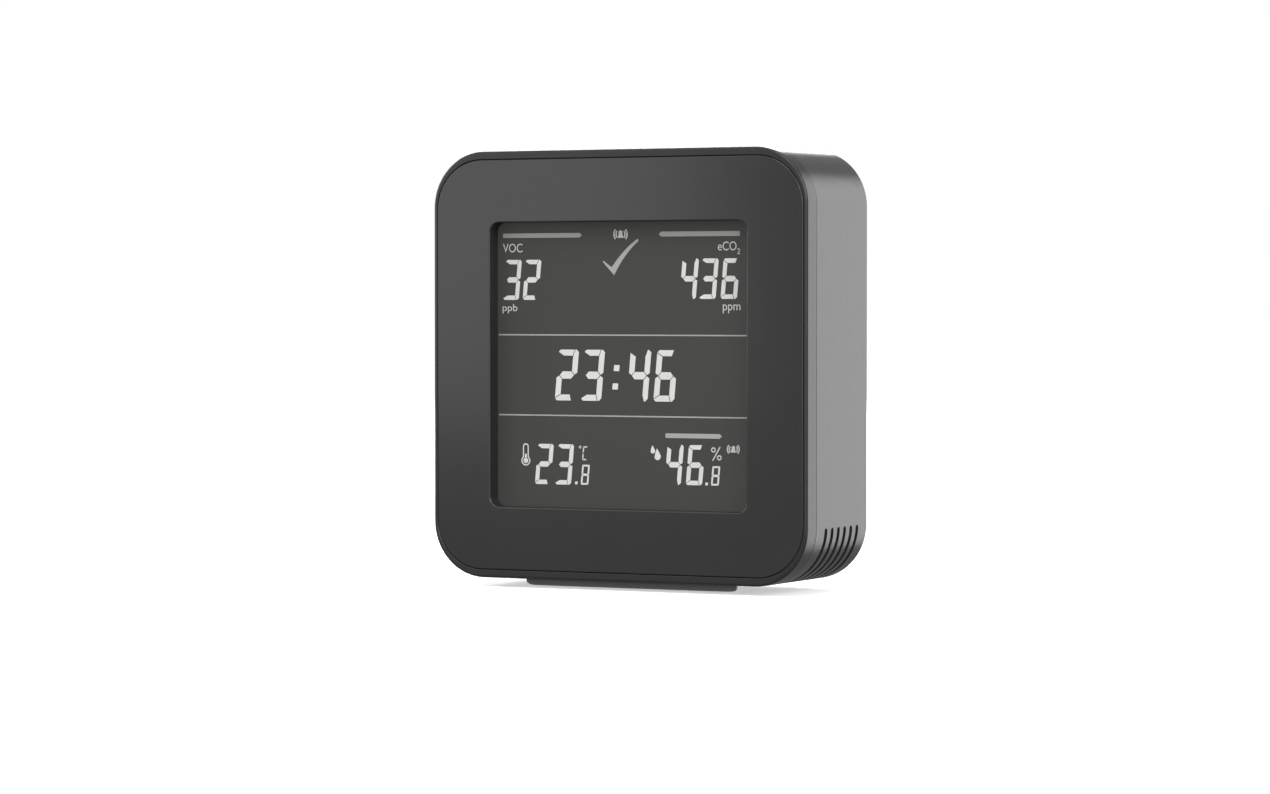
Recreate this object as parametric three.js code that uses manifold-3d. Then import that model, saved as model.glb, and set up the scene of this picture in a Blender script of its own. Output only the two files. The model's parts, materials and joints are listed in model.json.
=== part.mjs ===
// Desktop air quality monitor: a square, round-cornered case with a recessed segment display in its front,
// vent slots round its lower corners, four keys and a power inlet in its back, and a swivelling foot.
// Millimetres, +Z up. The display faces -Y and the origin lies under the middle of the foot.
import * as THREE from "three";
import { mergeVertices } from "three/addons/utils/BufferGeometryUtils.js";
import Module from "manifold-3d";

const wasm = await Module();
wasm.setup();

// ---- Driving dimensions ----
const WIDTH = 92;
const HEIGHT = 95;
const DEPTH = 32.5;
const CORNER = 12.5; // radius of the case's corners, seen from the front
const WALL = 2;
const TOUCH = 0.05; // air left between pieces that rest on each other
const CLEAR = 0.3; // air left round pieces that pass through or slide in others
const CORNER_STEPS = 6; // straight steps in a quarter of a large round
const SMALL_STEPS = 2; // the same in a quarter of a small round

// Front frame and panel
const SEAM = 4.9; // front face to the seam between the frame and the rear housing
const SIDE_RIM = 0.95; // case side to the middle of the gap round the panel
const TOP_RIM = 1.88; // the same above and below
const PANEL_THICK = 2;
const LEDGE_THICK = 1.5;
const TONGUE_THICK = 1.2;
const TONGUE_LENGTH = 3.2;
const WINDOW = 63.2; // side of the square window
const WINDOW_CORNER = 2.2;
const WINDOW_DEPTH = 4; // front face to the display
const COLLAR_THICK = 1.3;

// Display stack
const GLASS_THICK = 1.1;
const GLASS = 68; // side of the square rear glass
const GLASS_LEDGE = 3.2; // how far the front glass reaches below the rear one, to hold the contacts
const GUIDE_THICK = 2.4;
const TRAY_WALL = 1;
const LED_BAR_WIDTH = 1.8;
const DISPLAY_BOARD_THICK = 1.2;

// Electronics behind the display
const MAIN_BOARD_FRONT = 23.6;
const MAIN_BOARD_THICK = 1.6;
const MAIN_BOARD_WIDTH = 66;
const MAIN_BOARD_HEIGHT = 70;
const BATTERY = { width: 50, height: 34, thick: 6, z: 15 };
const PAD_THICK = 0.6;

// Keys
const KEY_COUNT = 4;
const KEY_PITCH = 14;
const KEY_HEIGHT_ON_BACK = 29; // above the middle of the case
const KEY = { width: 9, height: 5, corner: 1.2, flange: 0.8, sunk: 0.15 };
const KEY_TRAVEL = 0.5;

// Vents
const VENT_COUNT = 6;
const VENT_FIRST = 9.9; // front face to the middle of the first slot
const VENT_PITCH = 3.3;
const VENT_WIDTH = 1;
const VENT_END_ANGLE = 78; // degrees round the corner, from its upper end

// Foot
const FOOT_DROP = 2; // underside of the case above the table
const FOOT_REACH = 10.4; // pivot to the foot's front edge, and to its back edge
const FOOT_FRONT_WIDTH = 55.2;
const FOOT_BACK_WIDTH = 32.7;
const FOOT_CORNER = 2.5;
const FOOT_EDGE = 1;
const PAD_INSET = 3.2; // outline of the foot plate to the outline of its rubber pad
const PAD_PROUD = 0.2; // how far the rubber pad stands below the foot plate
const PIVOT_RADIUS = 3.4;

// ---- Worked-out places ----
const POCKET_WIDTH = WIDTH - 2 * SIDE_RIM + CLEAR;
const POCKET_HEIGHT = HEIGHT - 2 * TOP_RIM + CLEAR;
const POCKET_CORNER = CORNER - (SIDE_RIM + TOP_RIM) / 2 + CLEAR / 2;
const TAPE_FRONT = PANEL_THICK + TOUCH;
const TAPE_THICK = 0.2;
const LEDGE_FRONT = TAPE_FRONT + TAPE_THICK + TOUCH;
const LEDGE_BACK = LEDGE_FRONT + LEDGE_THICK;
const LEDGE_OPENING = WINDOW + 2 * COLLAR_THICK + 4.8;
const GASKET_THICK = 0.5;
const GLASS_FRONT = WINDOW_DEPTH + TOUCH;
const REAR_GLASS_FRONT = GLASS_FRONT + GLASS_THICK + TOUCH;
const TRAY_FRONT = REAR_GLASS_FRONT + GLASS_THICK + TOUCH;
const GUIDE_BACK = TRAY_FRONT + TOUCH + GUIDE_THICK;
const TRAY_BACK = GUIDE_BACK + TOUCH + TRAY_WALL;
const DISPLAY_BOARD_FRONT = TRAY_BACK + TOUCH;
const DISPLAY_BOARD_BACK = DISPLAY_BOARD_FRONT + DISPLAY_BOARD_THICK;
const MAIN_BOARD_BACK = MAIN_BOARD_FRONT + MAIN_BOARD_THICK;
const REAR_INSIDE = DEPTH - WALL;
const CASE_SCREW = {
  x: WIDTH / 2 - 8, z: HEIGHT / 2 - 8, boss: 3.5, seat: 22, pilot: 1.7, passage: 1.8, counterbore: 3.1,
};
const DISPLAY_SCREW = { x: LEDGE_OPENING / 2 + 2.3, z: 25, boss: 2.2, pilot: 1.3, passage: 1.4 };
const BOARD_SCREW = {
  x: MAIN_BOARD_WIDTH / 2 - 4, z: MAIN_BOARD_HEIGHT / 2 - 4, boss: 2.5, pilot: 1.3, passage: 1.4,
};
const CASE_BOSS_BACK = 9;
const INLET = { width: 8.94, height: 3.26, z: -30, skin: 0.3, base: 0.8, mouth: DEPTH - 0.9 };
const RIBBON = { x: 7, width: 12, thick: 0.3, z: -26 };

// ---- Shape helpers: every one returns a manifold solid ----
function solid(geometry) {
  const bare = geometry.clone();
  bare.deleteAttribute("normal");
  bare.deleteAttribute("uv");
  const merged = mergeVertices(bare, 1e-4);
  const mesh = new wasm.Mesh({
    numProp: 3,
    vertProperties: merged.attributes.position.array,
    triVerts: new Uint32Array(merged.index.array),
  });
  return new wasm.Manifold(mesh);
}

function join(first, ...others) {
  return others.reduce((whole, piece) => whole.add(piece), first);
}

function cut(first, ...others) {
  return others.reduce((whole, piece) => whole.subtract(piece), first);
}

function roundedRectangle(width, height, radius, x = 0, z = 0) {
  const right = x + width / 2;
  const left = x - width / 2;
  const top = z + height / 2;
  const bottom = z - height / 2;
  const shape = new THREE.Shape();
  shape.moveTo(right, bottom + radius);
  shape.lineTo(right, top - radius);
  shape.absarc(right - radius, top - radius, radius, 0, Math.PI / 2);
  shape.lineTo(left + radius, top);
  shape.absarc(left + radius, top - radius, radius, Math.PI / 2, Math.PI);
  shape.lineTo(left, bottom + radius);
  shape.absarc(left + radius, bottom + radius, radius, Math.PI, 1.5 * Math.PI);
  shape.lineTo(right - radius, bottom);
  shape.absarc(right - radius, bottom + radius, radius, 1.5 * Math.PI, 2 * Math.PI);
  return shape;
}

// A flat shape with straight sides between the points; each corner is rounded from this far along its sides.
function roundedPolygon(points, cutBack) {
  const shape = new THREE.Shape();
  points.forEach((corner, i) => {
    const before = points[(i + points.length - 1) % points.length];
    const after = points[(i + 1) % points.length];
    const start = before.clone().sub(corner).setLength(cutBack).add(corner);
    const end = after.clone().sub(corner).setLength(cutBack).add(corner);
    if (i === 0) shape.moveTo(start.x, start.y);
    else shape.lineTo(start.x, start.y);
    shape.quadraticCurveTo(corner.x, corner.y, end.x, end.y);
  });
  shape.closePath();
  return shape;
}

// A flat plate standing upright: the shape's x and y become X and Z, and it fills the stated depths.
function plate(shape, front, back, steps = SMALL_STEPS) {
  const options = { depth: back - front, bevelEnabled: false, curveSegments: steps };
  const geometry = new THREE.ExtrudeGeometry(shape, options);
  return solid(geometry.translate(0, 0, -back).rotateX(Math.PI / 2));
}

// The same plate with the edges of both its faces rounded.
function softPlate(shape, front, back, round, steps = SMALL_STEPS, roundSteps = 2) {
  const options = {
    depth: back - front - 2 * round,
    bevelThickness: round,
    bevelSize: round,
    bevelOffset: -round,
    bevelSegments: roundSteps,
    curveSegments: steps,
  };
  const geometry = new THREE.ExtrudeGeometry(shape, options);
  return solid(geometry.translate(0, 0, round - back).rotateX(Math.PI / 2));
}

function box(width, depth, height, x, y, z) {
  return solid(new THREE.BoxGeometry(width, depth, height).translate(x, y, z));
}

// A round bar along Y between two depths.
function bar(radius, front, back, x = 0, z = 0, sides = 14) {
  const geometry = new THREE.CylinderGeometry(radius, radius, back - front, sides);
  return solid(geometry.translate(x, (front + back) / 2, z));
}

// A round post along Z between two heights.
function post(radius, bottom, top, x = 0, y = 0, sides = 18) {
  const geometry = new THREE.CylinderGeometry(radius, radius, top - bottom, sides);
  return solid(geometry.rotateX(Math.PI / 2).translate(x, y, (bottom + top) / 2));
}

function atCorners(place, make) {
  const solids = [];
  for (const sideX of [-1, 1]) {
    for (const sideZ of [-1, 1]) solids.push(make(sideX * place.x, sideZ * place.z));
  }
  return solids;
}

function keyPlaces() {
  return Array.from({ length: KEY_COUNT }, (_, i) => (i - (KEY_COUNT - 1) / 2) * KEY_PITCH);
}

// ---- Materials ----
function finish(color, roughness, metalness = 0) {
  return new THREE.MeshStandardMaterial({ color, roughness, metalness });
}
const CASE_GREY = finish(0x53544f, 0.45);
const PANEL_BLACK = finish(0x3a3b3a, 0.2);
const GLASS_DARK = finish(0x444442, 0.15);
const WHITE_PLASTIC = finish(0xe8e8e4, 0.5);
const BLACK_PLASTIC = finish(0x1c1c1c, 0.5);
const BOARD_GREEN = finish(0x1f5a36, 0.55);
const STEEL = finish(0xb8b8b8, 0.3, 1);
const RUBBER = finish(0x202020, 0.85);
const FOAM = finish(0x2b2b2b, 0.95);
const BATTERY_SILVER = finish(0xbfc3c6, 0.4, 0.6);
const RED_WIRE = finish(0xb01818, 0.5);
const RIBBON_WHITE = finish(0xdfe3e6, 0.45);

// ---- Scene graph ----
const monitor = new THREE.Group();
// Inside the case group, y counts from the front face backwards and z from the middle of the case.
const caseGroup = new THREE.Group();
caseGroup.position.set(0, -DEPTH / 2, FOOT_DROP + HEIGHT / 2);
const footGroup = new THREE.Group();
monitor.add(caseGroup, footGroup);

function place(group, name, manifold, material, x = 0, y = 0, z = 0) {
  const made = manifold.getMesh();
  const geometry = new THREE.BufferGeometry();
  geometry.setAttribute("position", new THREE.BufferAttribute(made.vertProperties, 3));
  geometry.setIndex(new THREE.BufferAttribute(made.triVerts, 1));
  geometry.computeVertexNormals();
  const mesh = new THREE.Mesh(geometry, material);
  mesh.name = name;
  mesh.position.set(x, y, z);
  group.add(mesh);
  return mesh;
}

// ---- Screws: the head sits above the origin on +Y, and the shank runs along -Y ----
function screw(head, headHeight, shank, length) {
  const tip = shank * 0.4;
  const profile = [
    new THREE.Vector2(0, -length),
    new THREE.Vector2(tip, -length),
    new THREE.Vector2(shank, -length + shank),
    new THREE.Vector2(shank, 0),
    new THREE.Vector2(head, 0),
    new THREE.Vector2(head, headHeight * 0.55),
    new THREE.Vector2(head * 0.7, headHeight),
    new THREE.Vector2(0, headHeight),
  ];
  const turned = solid(new THREE.LatheGeometry(profile, 10));
  const slot = head * 0.28;
  const recess = join(
    box(head * 1.1, headHeight, slot, 0, headHeight, 0),
    box(slot, headHeight, head * 1.1, 0, headHeight, 0),
  );
  return cut(turned, recess);
}

// ---- Front frame: rim, ledge behind the panel, tongue into the rear housing, and screw bosses ----
function frontFrame() {
  const edgeRound = 0.6;
  const openingCorner = 3;
  const outline = roundedRectangle(WIDTH, HEIGHT, CORNER);
  const behind = box(2 * WIDTH, DEPTH, 2 * HEIGHT, 0, SEAM - TOUCH + DEPTH / 2, 0);
  const block = cut(softPlate(outline, 0, SEAM + 2, edgeRound, CORNER_STEPS), behind);
  const pocketShape = roundedRectangle(POCKET_WIDTH, POCKET_HEIGHT, POCKET_CORNER);
  const pocket = plate(pocketShape, -1, LEDGE_FRONT, CORNER_STEPS);
  const opening = plate(roundedRectangle(LEDGE_OPENING, LEDGE_OPENING, openingCorner), 0, DEPTH);
  const inset = WALL + CLEAR + TONGUE_THICK;
  const hollowShape = roundedRectangle(WIDTH - 2 * inset, HEIGHT - 2 * inset, CORNER - inset);
  const hollow = plate(hollowShape, LEDGE_BACK, DEPTH, CORNER_STEPS);
  const reach = WALL + CLEAR;
  const tongueShape = roundedRectangle(WIDTH - 2 * reach, HEIGHT - 2 * reach, CORNER - reach);
  const tongue = plate(tongueShape, SEAM - 1, SEAM + TONGUE_LENGTH, CORNER_STEPS);
  const ring = cut(join(block, tongue), pocket, hollow, opening);
  const root = LEDGE_BACK - 0.5;
  const caseBosses = atCorners(CASE_SCREW, (x, z) => bar(CASE_SCREW.boss, root, CASE_BOSS_BACK, x, z));
  const boardBosses = atCorners(DISPLAY_SCREW, (x, z) =>
    bar(DISPLAY_SCREW.boss, root, DISPLAY_BOARD_FRONT - TOUCH, x, z, 16),
  );
  const casePilots = atCorners(CASE_SCREW, (x, z) => bar(CASE_SCREW.pilot, LEDGE_BACK + 1, DEPTH, x, z, 12));
  const boardPilots = atCorners(DISPLAY_SCREW, (x, z) =>
    bar(DISPLAY_SCREW.pilot, LEDGE_BACK + 1, DEPTH, x, z, 12),
  );
  return cut(join(ring, ...caseBosses, ...boardBosses), ...casePilots, ...boardPilots);
}

// ---- Front panel: a thin plate whose window has a collar that reaches back to the display ----
function frontPanel() {
  const width = POCKET_WIDTH - 2 * CLEAR;
  const height = POCKET_HEIGHT - 2 * CLEAR;
  const outline = roundedRectangle(width, height, POCKET_CORNER - CLEAR);
  const edgeRound = 0.25;
  const face = softPlate(outline, 0, PANEL_THICK, edgeRound, CORNER_STEPS, 1);
  const collarSide = WINDOW + 2 * COLLAR_THICK;
  const collarShape = roundedRectangle(collarSide, collarSide, WINDOW_CORNER + COLLAR_THICK);
  const collar = plate(collarShape, PANEL_THICK / 2, WINDOW_DEPTH - GASKET_THICK - TOUCH);
  const window = plate(roundedRectangle(WINDOW, WINDOW, WINDOW_CORNER), -1, DEPTH);
  return cut(join(face, collar), window);
}

function flatRing(outerWidth, outerHeight, outerCorner, inner, innerCorner, front, back) {
  const outer = plate(roundedRectangle(outerWidth, outerHeight, outerCorner), front, back, CORNER_STEPS);
  const hole = plate(roundedRectangle(inner, inner, innerCorner), front - 1, back + 1);
  return cut(outer, hole);
}

function addFront() {
  place(caseGroup, "front_frame", frontFrame(), CASE_GREY);
  place(caseGroup, "front_panel", frontPanel(), PANEL_BLACK);
  const tapeInset = 2;
  const tape = flatRing(
    POCKET_WIDTH - 2 * tapeInset, POCKET_HEIGHT - 2 * tapeInset, POCKET_CORNER - tapeInset,
    LEDGE_OPENING + 1.6, 3, TAPE_FRONT, TAPE_FRONT + TAPE_THICK,
  );
  place(caseGroup, "panel_tape", tape, FOAM);
  const gasketSide = WINDOW + 4.6;
  const gasketFront = WINDOW_DEPTH - GASKET_THICK;
  const gasket = flatRing(
    gasketSide, gasketSide, WINDOW_CORNER + 2, WINDOW + 0.4, WINDOW_CORNER, gasketFront, WINDOW_DEPTH,
  );
  place(caseGroup, "display_gasket", gasket, FOAM);
}

// ---- Display stack ----
function addDisplay() {
  const glassTop = GLASS / 2;
  const frontHeight = GLASS + GLASS_LEDGE;
  const frontGlass = plate(
    roundedRectangle(GLASS, frontHeight, 0.5, 0, glassTop - frontHeight / 2), GLASS_FRONT,
    GLASS_FRONT + GLASS_THICK, 1,
  );
  place(caseGroup, "lcd_front_glass", frontGlass, GLASS_DARK);
  const rearGlass = plate(
    roundedRectangle(GLASS, GLASS, 0.5), REAR_GLASS_FRONT, REAR_GLASS_FRONT + GLASS_THICK, 1,
  );
  place(caseGroup, "lcd_rear_glass", rearGlass, GLASS_DARK);

  const inside = GLASS - 2 * TRAY_WALL;
  const tray = cut(
    plate(roundedRectangle(GLASS, GLASS, 1), TRAY_FRONT, TRAY_BACK),
    plate(roundedRectangle(inside, inside, 0.5), TRAY_FRONT - 1, GUIDE_BACK + TOUCH, 1),
  );
  place(caseGroup, "backlight_tray", tray, WHITE_PLASTIC);
  const guideHeight = inside - 2 * CLEAR;
  const guideWidth = inside - 3 * CLEAR - LED_BAR_WIDTH;
  const guide = plate(
    roundedRectangle(guideWidth, guideHeight, 0.5, -(CLEAR + LED_BAR_WIDTH) / 2), TRAY_FRONT + TOUCH,
    GUIDE_BACK, 1,
  );
  place(caseGroup, "light_guide", guide, WHITE_PLASTIC);
  const barX = inside / 2 - CLEAR - LED_BAR_WIDTH / 2;
  const barY = (TRAY_FRONT + GUIDE_BACK) / 2;
  const ledBar = box(LED_BAR_WIDTH, GUIDE_THICK - 0.2, guideHeight - 5, barX, barY, 0);
  place(caseGroup, "backlight_led_bar", ledBar, WHITE_PLASTIC);

  const stripFront = GLASS_FRONT + GLASS_THICK + TOUCH;
  const stripBack = DISPLAY_BOARD_FRONT - TOUCH;
  const stripZ = -GLASS / 2 - GLASS_LEDGE / 2 - 0.4;
  const strip = box(GLASS - 6, stripBack - stripFront, 2, 0, (stripFront + stripBack) / 2, stripZ);
  place(caseGroup, "zebra_strip", strip, RUBBER);

  const boardWidth = 2 * (DISPLAY_SCREW.x + 2);
  const boardTop = CASE_SCREW.z - CASE_SCREW.boss - 1;
  const tabTop = 1 - boardTop;
  const tabBottom = stripZ - 2.4;
  const board = join(
    plate(roundedRectangle(boardWidth, 2 * boardTop, 1), DISPLAY_BOARD_FRONT, DISPLAY_BOARD_BACK),
    plate(
      roundedRectangle(GLASS - 4, tabTop - tabBottom, 0.8, 0, (tabTop + tabBottom) / 2),
      DISPLAY_BOARD_FRONT, DISPLAY_BOARD_BACK,
    ),
  );
  const holes = atCorners(DISPLAY_SCREW, (x, z) => bar(DISPLAY_SCREW.passage, 0, DEPTH, x, z, 12));
  place(caseGroup, "display_board", cut(board, ...holes), BOARD_GREEN);
  const globProfile = [
    new THREE.Vector2(0, 0),
    new THREE.Vector2(6, 0),
    new THREE.Vector2(5.2, 0.7),
    new THREE.Vector2(3.4, 1.1),
    new THREE.Vector2(0, 1.3),
  ];
  const glob = solid(new THREE.LatheGeometry(globProfile, 20));
  place(caseGroup, "driver_chip", glob, BLACK_PLASTIC, 0, DISPLAY_BOARD_BACK + TOUCH, 12);

  const displayScrew = screw(2.1, 1.3, 1, 5.6);
  let number = 1;
  for (const sideX of [-1, 1]) {
    for (const sideZ of [-1, 1]) {
      const x = sideX * DISPLAY_SCREW.x;
      const z = sideZ * DISPLAY_SCREW.z;
      place(caseGroup, "display_screw_" + number, displayScrew, STEEL, x, DISPLAY_BOARD_BACK + TOUCH, z);
      number += 1;
    }
  }
}

// ---- Rear housing: a deep open shell with pillars, vents, key holes, inlet hole and pivot hole ----
// One vent slot: a slice of the ring that holds the case's lower corner, open from the side downwards.
function ventSlot(side, depth) {
  const x = side * (WIDTH / 2 - CORNER);
  const z = -(HEIGHT / 2 - CORNER);
  const turn = (VENT_END_ANGLE * Math.PI) / 180;
  const start = side > 0 ? 0 : Math.PI;
  const end = side > 0 ? -turn : Math.PI + turn;
  const inner = CORNER - WALL - 1;
  const shape = new THREE.Shape();
  shape.absarc(x, z, CORNER + 1, start, end, side > 0);
  shape.absarc(x, z, inner, end, start, side < 0);
  return plate(shape, depth - VENT_WIDTH / 2, depth + VENT_WIDTH / 2, 3);
}

function rearHousing() {
  const edgeRound = 1.2;
  const outline = roundedRectangle(WIDTH, HEIGHT, CORNER);
  const ahead = box(2 * WIDTH, SEAM, 2 * HEIGHT, 0, SEAM / 2, 0);
  const block = cut(softPlate(outline, SEAM - 2, DEPTH, edgeRound, CORNER_STEPS), ahead);
  const cavityShape = roundedRectangle(WIDTH - 2 * WALL, HEIGHT - 2 * WALL, CORNER - WALL);
  const shell = cut(block, plate(cavityShape, 0, REAR_INSIDE, CORNER_STEPS));

  const pillarFront = CASE_BOSS_BACK + CLEAR;
  const pillars = atCorners(CASE_SCREW, (x, z) => bar(CASE_SCREW.boss + 0.5, pillarFront, DEPTH - 1, x, z));
  const boardBosses = atCorners(BOARD_SCREW, (x, z) =>
    bar(BOARD_SCREW.boss, MAIN_BOARD_BACK + TOUCH, DEPTH - 1, x, z, 16),
  );
  const counterbores = atCorners(CASE_SCREW, (x, z) =>
    bar(CASE_SCREW.counterbore, CASE_SCREW.seat, DEPTH + 1, x, z),
  );
  const clearanceHoles = atCorners(CASE_SCREW, (x, z) => bar(CASE_SCREW.passage, 0, DEPTH, x, z, 12));
  const boardPilots = atCorners(BOARD_SCREW, (x, z) => bar(BOARD_SCREW.pilot, 0, REAR_INSIDE, x, z, 12));

  const slots = [];
  for (const side of [-1, 1]) {
    for (let i = 0; i < VENT_COUNT; i += 1) slots.push(ventSlot(side, VENT_FIRST + i * VENT_PITCH));
  }
  const keyHoles = keyPlaces().map((x) => {
    const hole = roundedRectangle(
      KEY.width + 2 * CLEAR, KEY.height + 2 * CLEAR, KEY.corner + CLEAR, x, KEY_HEIGHT_ON_BACK,
    );
    return plate(hole, REAR_INSIDE - 1, DEPTH + 1);
  });
  const inletWidth = INLET.width + 2 * CLEAR;
  const inletHeight = INLET.height + 2 * CLEAR;
  const inletShape = roundedRectangle(inletWidth, inletHeight, inletHeight / 2 - 0.05, 0, INLET.z);
  const inletHole = plate(inletShape, REAR_INSIDE - 1, DEPTH + 1);
  const pivotHole = post(PIVOT_RADIUS + CLEAR, -HEIGHT, -HEIGHT / 2 + WALL + 1, 0, DEPTH / 2);
  const built = join(shell, ...pillars, ...boardBosses);
  return cut(
    built, ...counterbores, ...clearanceHoles, ...boardPilots, ...slots, ...keyHoles, inletHole, pivotHole,
  );
}

function addHousing() {
  place(caseGroup, "rear_housing", rearHousing(), CASE_GREY);
  const caseScrew = screw(2.7, 2, 1.4, 16);
  let number = 1;
  for (const sideX of [-1, 1]) {
    for (const sideZ of [-1, 1]) {
      const x = sideX * CASE_SCREW.x;
      const z = sideZ * CASE_SCREW.z;
      place(caseGroup, "case_screw_" + number, caseScrew, STEEL, x, CASE_SCREW.seat + TOUCH, z);
      number += 1;
    }
  }
}

// ---- Main board and what is soldered to it ----
// A flat chip with short legs on all four sides, lying on the board's front face.
function legChip(side, thick, legsPerSide) {
  const body = box(side, thick, side, 0, -thick / 2 - 0.1, 0);
  const legs = [];
  const pitch = (side - 1) / legsPerSide;
  for (let i = 0; i < legsPerSide; i += 1) {
    const along = (i - (legsPerSide - 1) / 2) * pitch;
    legs.push(box(side + 2, 0.4, pitch * 0.45, 0, -0.25, along));
    legs.push(box(pitch * 0.45, 0.4, side + 2, along, -0.25, 0));
  }
  return join(body, ...legs);
}

function addMainBoard() {
  const boardShape = roundedRectangle(MAIN_BOARD_WIDTH, MAIN_BOARD_HEIGHT, 1.5);
  const holes = atCorners(BOARD_SCREW, (x, z) => bar(BOARD_SCREW.passage, 0, DEPTH, x, z, 12));
  const board = cut(plate(boardShape, MAIN_BOARD_FRONT, MAIN_BOARD_BACK), ...holes);
  place(caseGroup, "main_board", board, BOARD_GREEN);

  const onBoard = MAIN_BOARD_FRONT - TOUCH;
  place(caseGroup, "processor_chip", legChip(9, 1.4, 4), BLACK_PLASTIC, 6, onBoard, -14);

  const sensorCan = cut(
    bar(4.6, -5, 0),
    bar(3.4, -6, -4.4),
    ...[-1.2, 1.2].flatMap((x) => [-1.2, 1.2].map((z) => bar(0.6, -6, -3.6, x, z, 8))),
  );
  place(caseGroup, "gas_sensor", sensorCan, STEEL, 23, onBoard, -22);

  const humidityCase = cut(box(8, 3, 7, 0, -1.5, 0), bar(1.6, -4, -2.2, 0, 0, 12));
  place(caseGroup, "humidity_sensor", humidityCase, WHITE_PLASTIC, -25, onBoard, -23);

  const buzzer = cut(bar(4.8, -5, 0), bar(1, -6, -3.5, 0, 0, 12));
  place(caseGroup, "buzzer", buzzer, BLACK_PLASTIC, -10, onBoard, -26);

  // These screws enter from the front, so they are turned end for end.
  const boardScrew = screw(2.2, 1.3, 1, 5);
  let number = 1;
  for (const sideX of [-1, 1]) {
    for (const sideZ of [-1, 1]) {
      const x = sideX * BOARD_SCREW.x;
      const z = sideZ * BOARD_SCREW.z;
      const mesh = place(caseGroup, "board_screw_" + number, boardScrew, STEEL, x, onBoard, z);
      mesh.rotation.z = Math.PI;
      number += 1;
    }
  }
}

// ---- Battery, its leads and its plug ----
function lead(fromX, toX, startZ, endZ, startY, endY) {
  const bend = (endZ - startZ) / 3;
  const path = new THREE.CubicBezierCurve3(
    new THREE.Vector3(fromX, startY, startZ),
    new THREE.Vector3(fromX, startY, startZ + bend),
    new THREE.Vector3(toX, endY, endZ - bend),
    new THREE.Vector3(toX, endY, endZ),
  );
  const section = new THREE.Shape();
  section.absarc(0, 0, 0.6, 0, 2 * Math.PI);
  const options = { steps: 6, extrudePath: path, curveSegments: 8 };
  return solid(new THREE.ExtrudeGeometry(section, options));
}

function addBattery() {
  const padBack = MAIN_BOARD_FRONT - TOUCH;
  const padShape = roundedRectangle(BATTERY.width - 6, BATTERY.height - 6, 1, 0, BATTERY.z);
  place(caseGroup, "battery_pad", plate(padShape, padBack - PAD_THICK, padBack, 1), FOAM);
  const cellBack = padBack - PAD_THICK - TOUCH;
  const cellShape = roundedRectangle(BATTERY.width, BATTERY.height, 3, 0, BATTERY.z);
  const cell = softPlate(cellShape, cellBack - BATTERY.thick, cellBack, 1.2);
  place(caseGroup, "battery", cell, BATTERY_SILVER);

  const socket = { x: -14, z: -12, width: 7.5, thick: 5.4, height: 7 };
  const middle = padBack - socket.thick / 2;
  const cavity = { width: 5.7, thick: 3.8, depth: 4.5 };
  const socketTop = socket.height / 2;
  const socketBody = cut(
    box(socket.width, socket.thick, socket.height, 0, 0, 0),
    box(cavity.width, cavity.thick, 2 * cavity.depth, 0, 0, socketTop),
  );
  place(caseGroup, "battery_socket", socketBody, WHITE_PLASTIC, socket.x, middle, socket.z);
  const plugHeight = 6.5;
  const plugBottom = socket.z + socketTop - cavity.depth + CLEAR;
  const plug = box(cavity.width - 2 * CLEAR, cavity.thick - 2 * CLEAR, plugHeight, 0, 0, plugHeight / 2);
  place(caseGroup, "battery_plug", plug, WHITE_PLASTIC, socket.x, middle, plugBottom);

  const leadStart = plugBottom + plugHeight + TOUCH;
  const leadEnd = BATTERY.z - BATTERY.height / 2 - TOUCH;
  const cellMiddle = cellBack - BATTERY.thick / 2;
  const wires = [
    { name: "battery_lead_red", side: 1, material: RED_WIRE },
    { name: "battery_lead_black", side: -1, material: BLACK_PLASTIC },
  ];
  for (const wire of wires) {
    const fromX = socket.x + wire.side;
    const toX = socket.x + wire.side * 3;
    const made = lead(fromX, toX, leadStart, leadEnd, middle, cellMiddle);
    place(caseGroup, wire.name, made, wire.material);
  }
}

// ---- Ribbon cable between the boards, with its two sockets ----
function addRibbon() {
  const socket = { width: RIBBON.width + 2.4, thick: 2, height: 3, mouth: 2 };
  const frontLeg = DISPLAY_BOARD_BACK + TOUCH + socket.thick / 2;
  const rearLeg = MAIN_BOARD_FRONT - TOUCH - socket.thick / 2;
  const socketBottom = RIBBON.z - socket.height / 2;
  const body = cut(
    box(socket.width, socket.thick, socket.height, 0, 0, 0),
    box(
      RIBBON.width + 2 * CLEAR, RIBBON.thick + 2 * CLEAR, 2 * socket.mouth, 0, 0, -socket.height / 2,
    ),
  );
  place(caseGroup, "ribbon_socket_front", body, WHITE_PLASTIC, RIBBON.x, frontLeg, RIBBON.z);
  place(caseGroup, "ribbon_socket_rear", body, WHITE_PLASTIC, RIBBON.x, rearLeg, RIBBON.z);

  // The strip's side view: up one leg, round the bend below both sockets, and up the other leg.
  const top = socketBottom + socket.mouth - CLEAR;
  const bendZ = socketBottom - 2;
  const half = RIBBON.thick / 2;
  const middle = (frontLeg + rearLeg) / 2;
  const radius = (rearLeg - frontLeg) / 2;
  const shape = new THREE.Shape();
  shape.moveTo(rearLeg + half, top);
  shape.lineTo(rearLeg - half, top);
  shape.lineTo(rearLeg - half, bendZ);
  shape.absarc(middle, bendZ, radius - half, 0, -Math.PI, true);
  shape.lineTo(frontLeg + half, top);
  shape.lineTo(frontLeg - half, top);
  shape.lineTo(frontLeg - half, bendZ);
  shape.absarc(middle, bendZ, radius + half, Math.PI, 2 * Math.PI, false);
  const options = { depth: RIBBON.width, bevelEnabled: false, curveSegments: 8 };
  const strip = new THREE.ExtrudeGeometry(shape, options);
  // The shape's x and y become Y and Z, and the strip's width runs along X.
  strip.rotateY(Math.PI / 2).rotateX(Math.PI / 2);
  place(caseGroup, "ribbon_cable", solid(strip), RIBBON_WHITE, RIBBON.x - RIBBON.width / 2, 0, 0);
}

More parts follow.
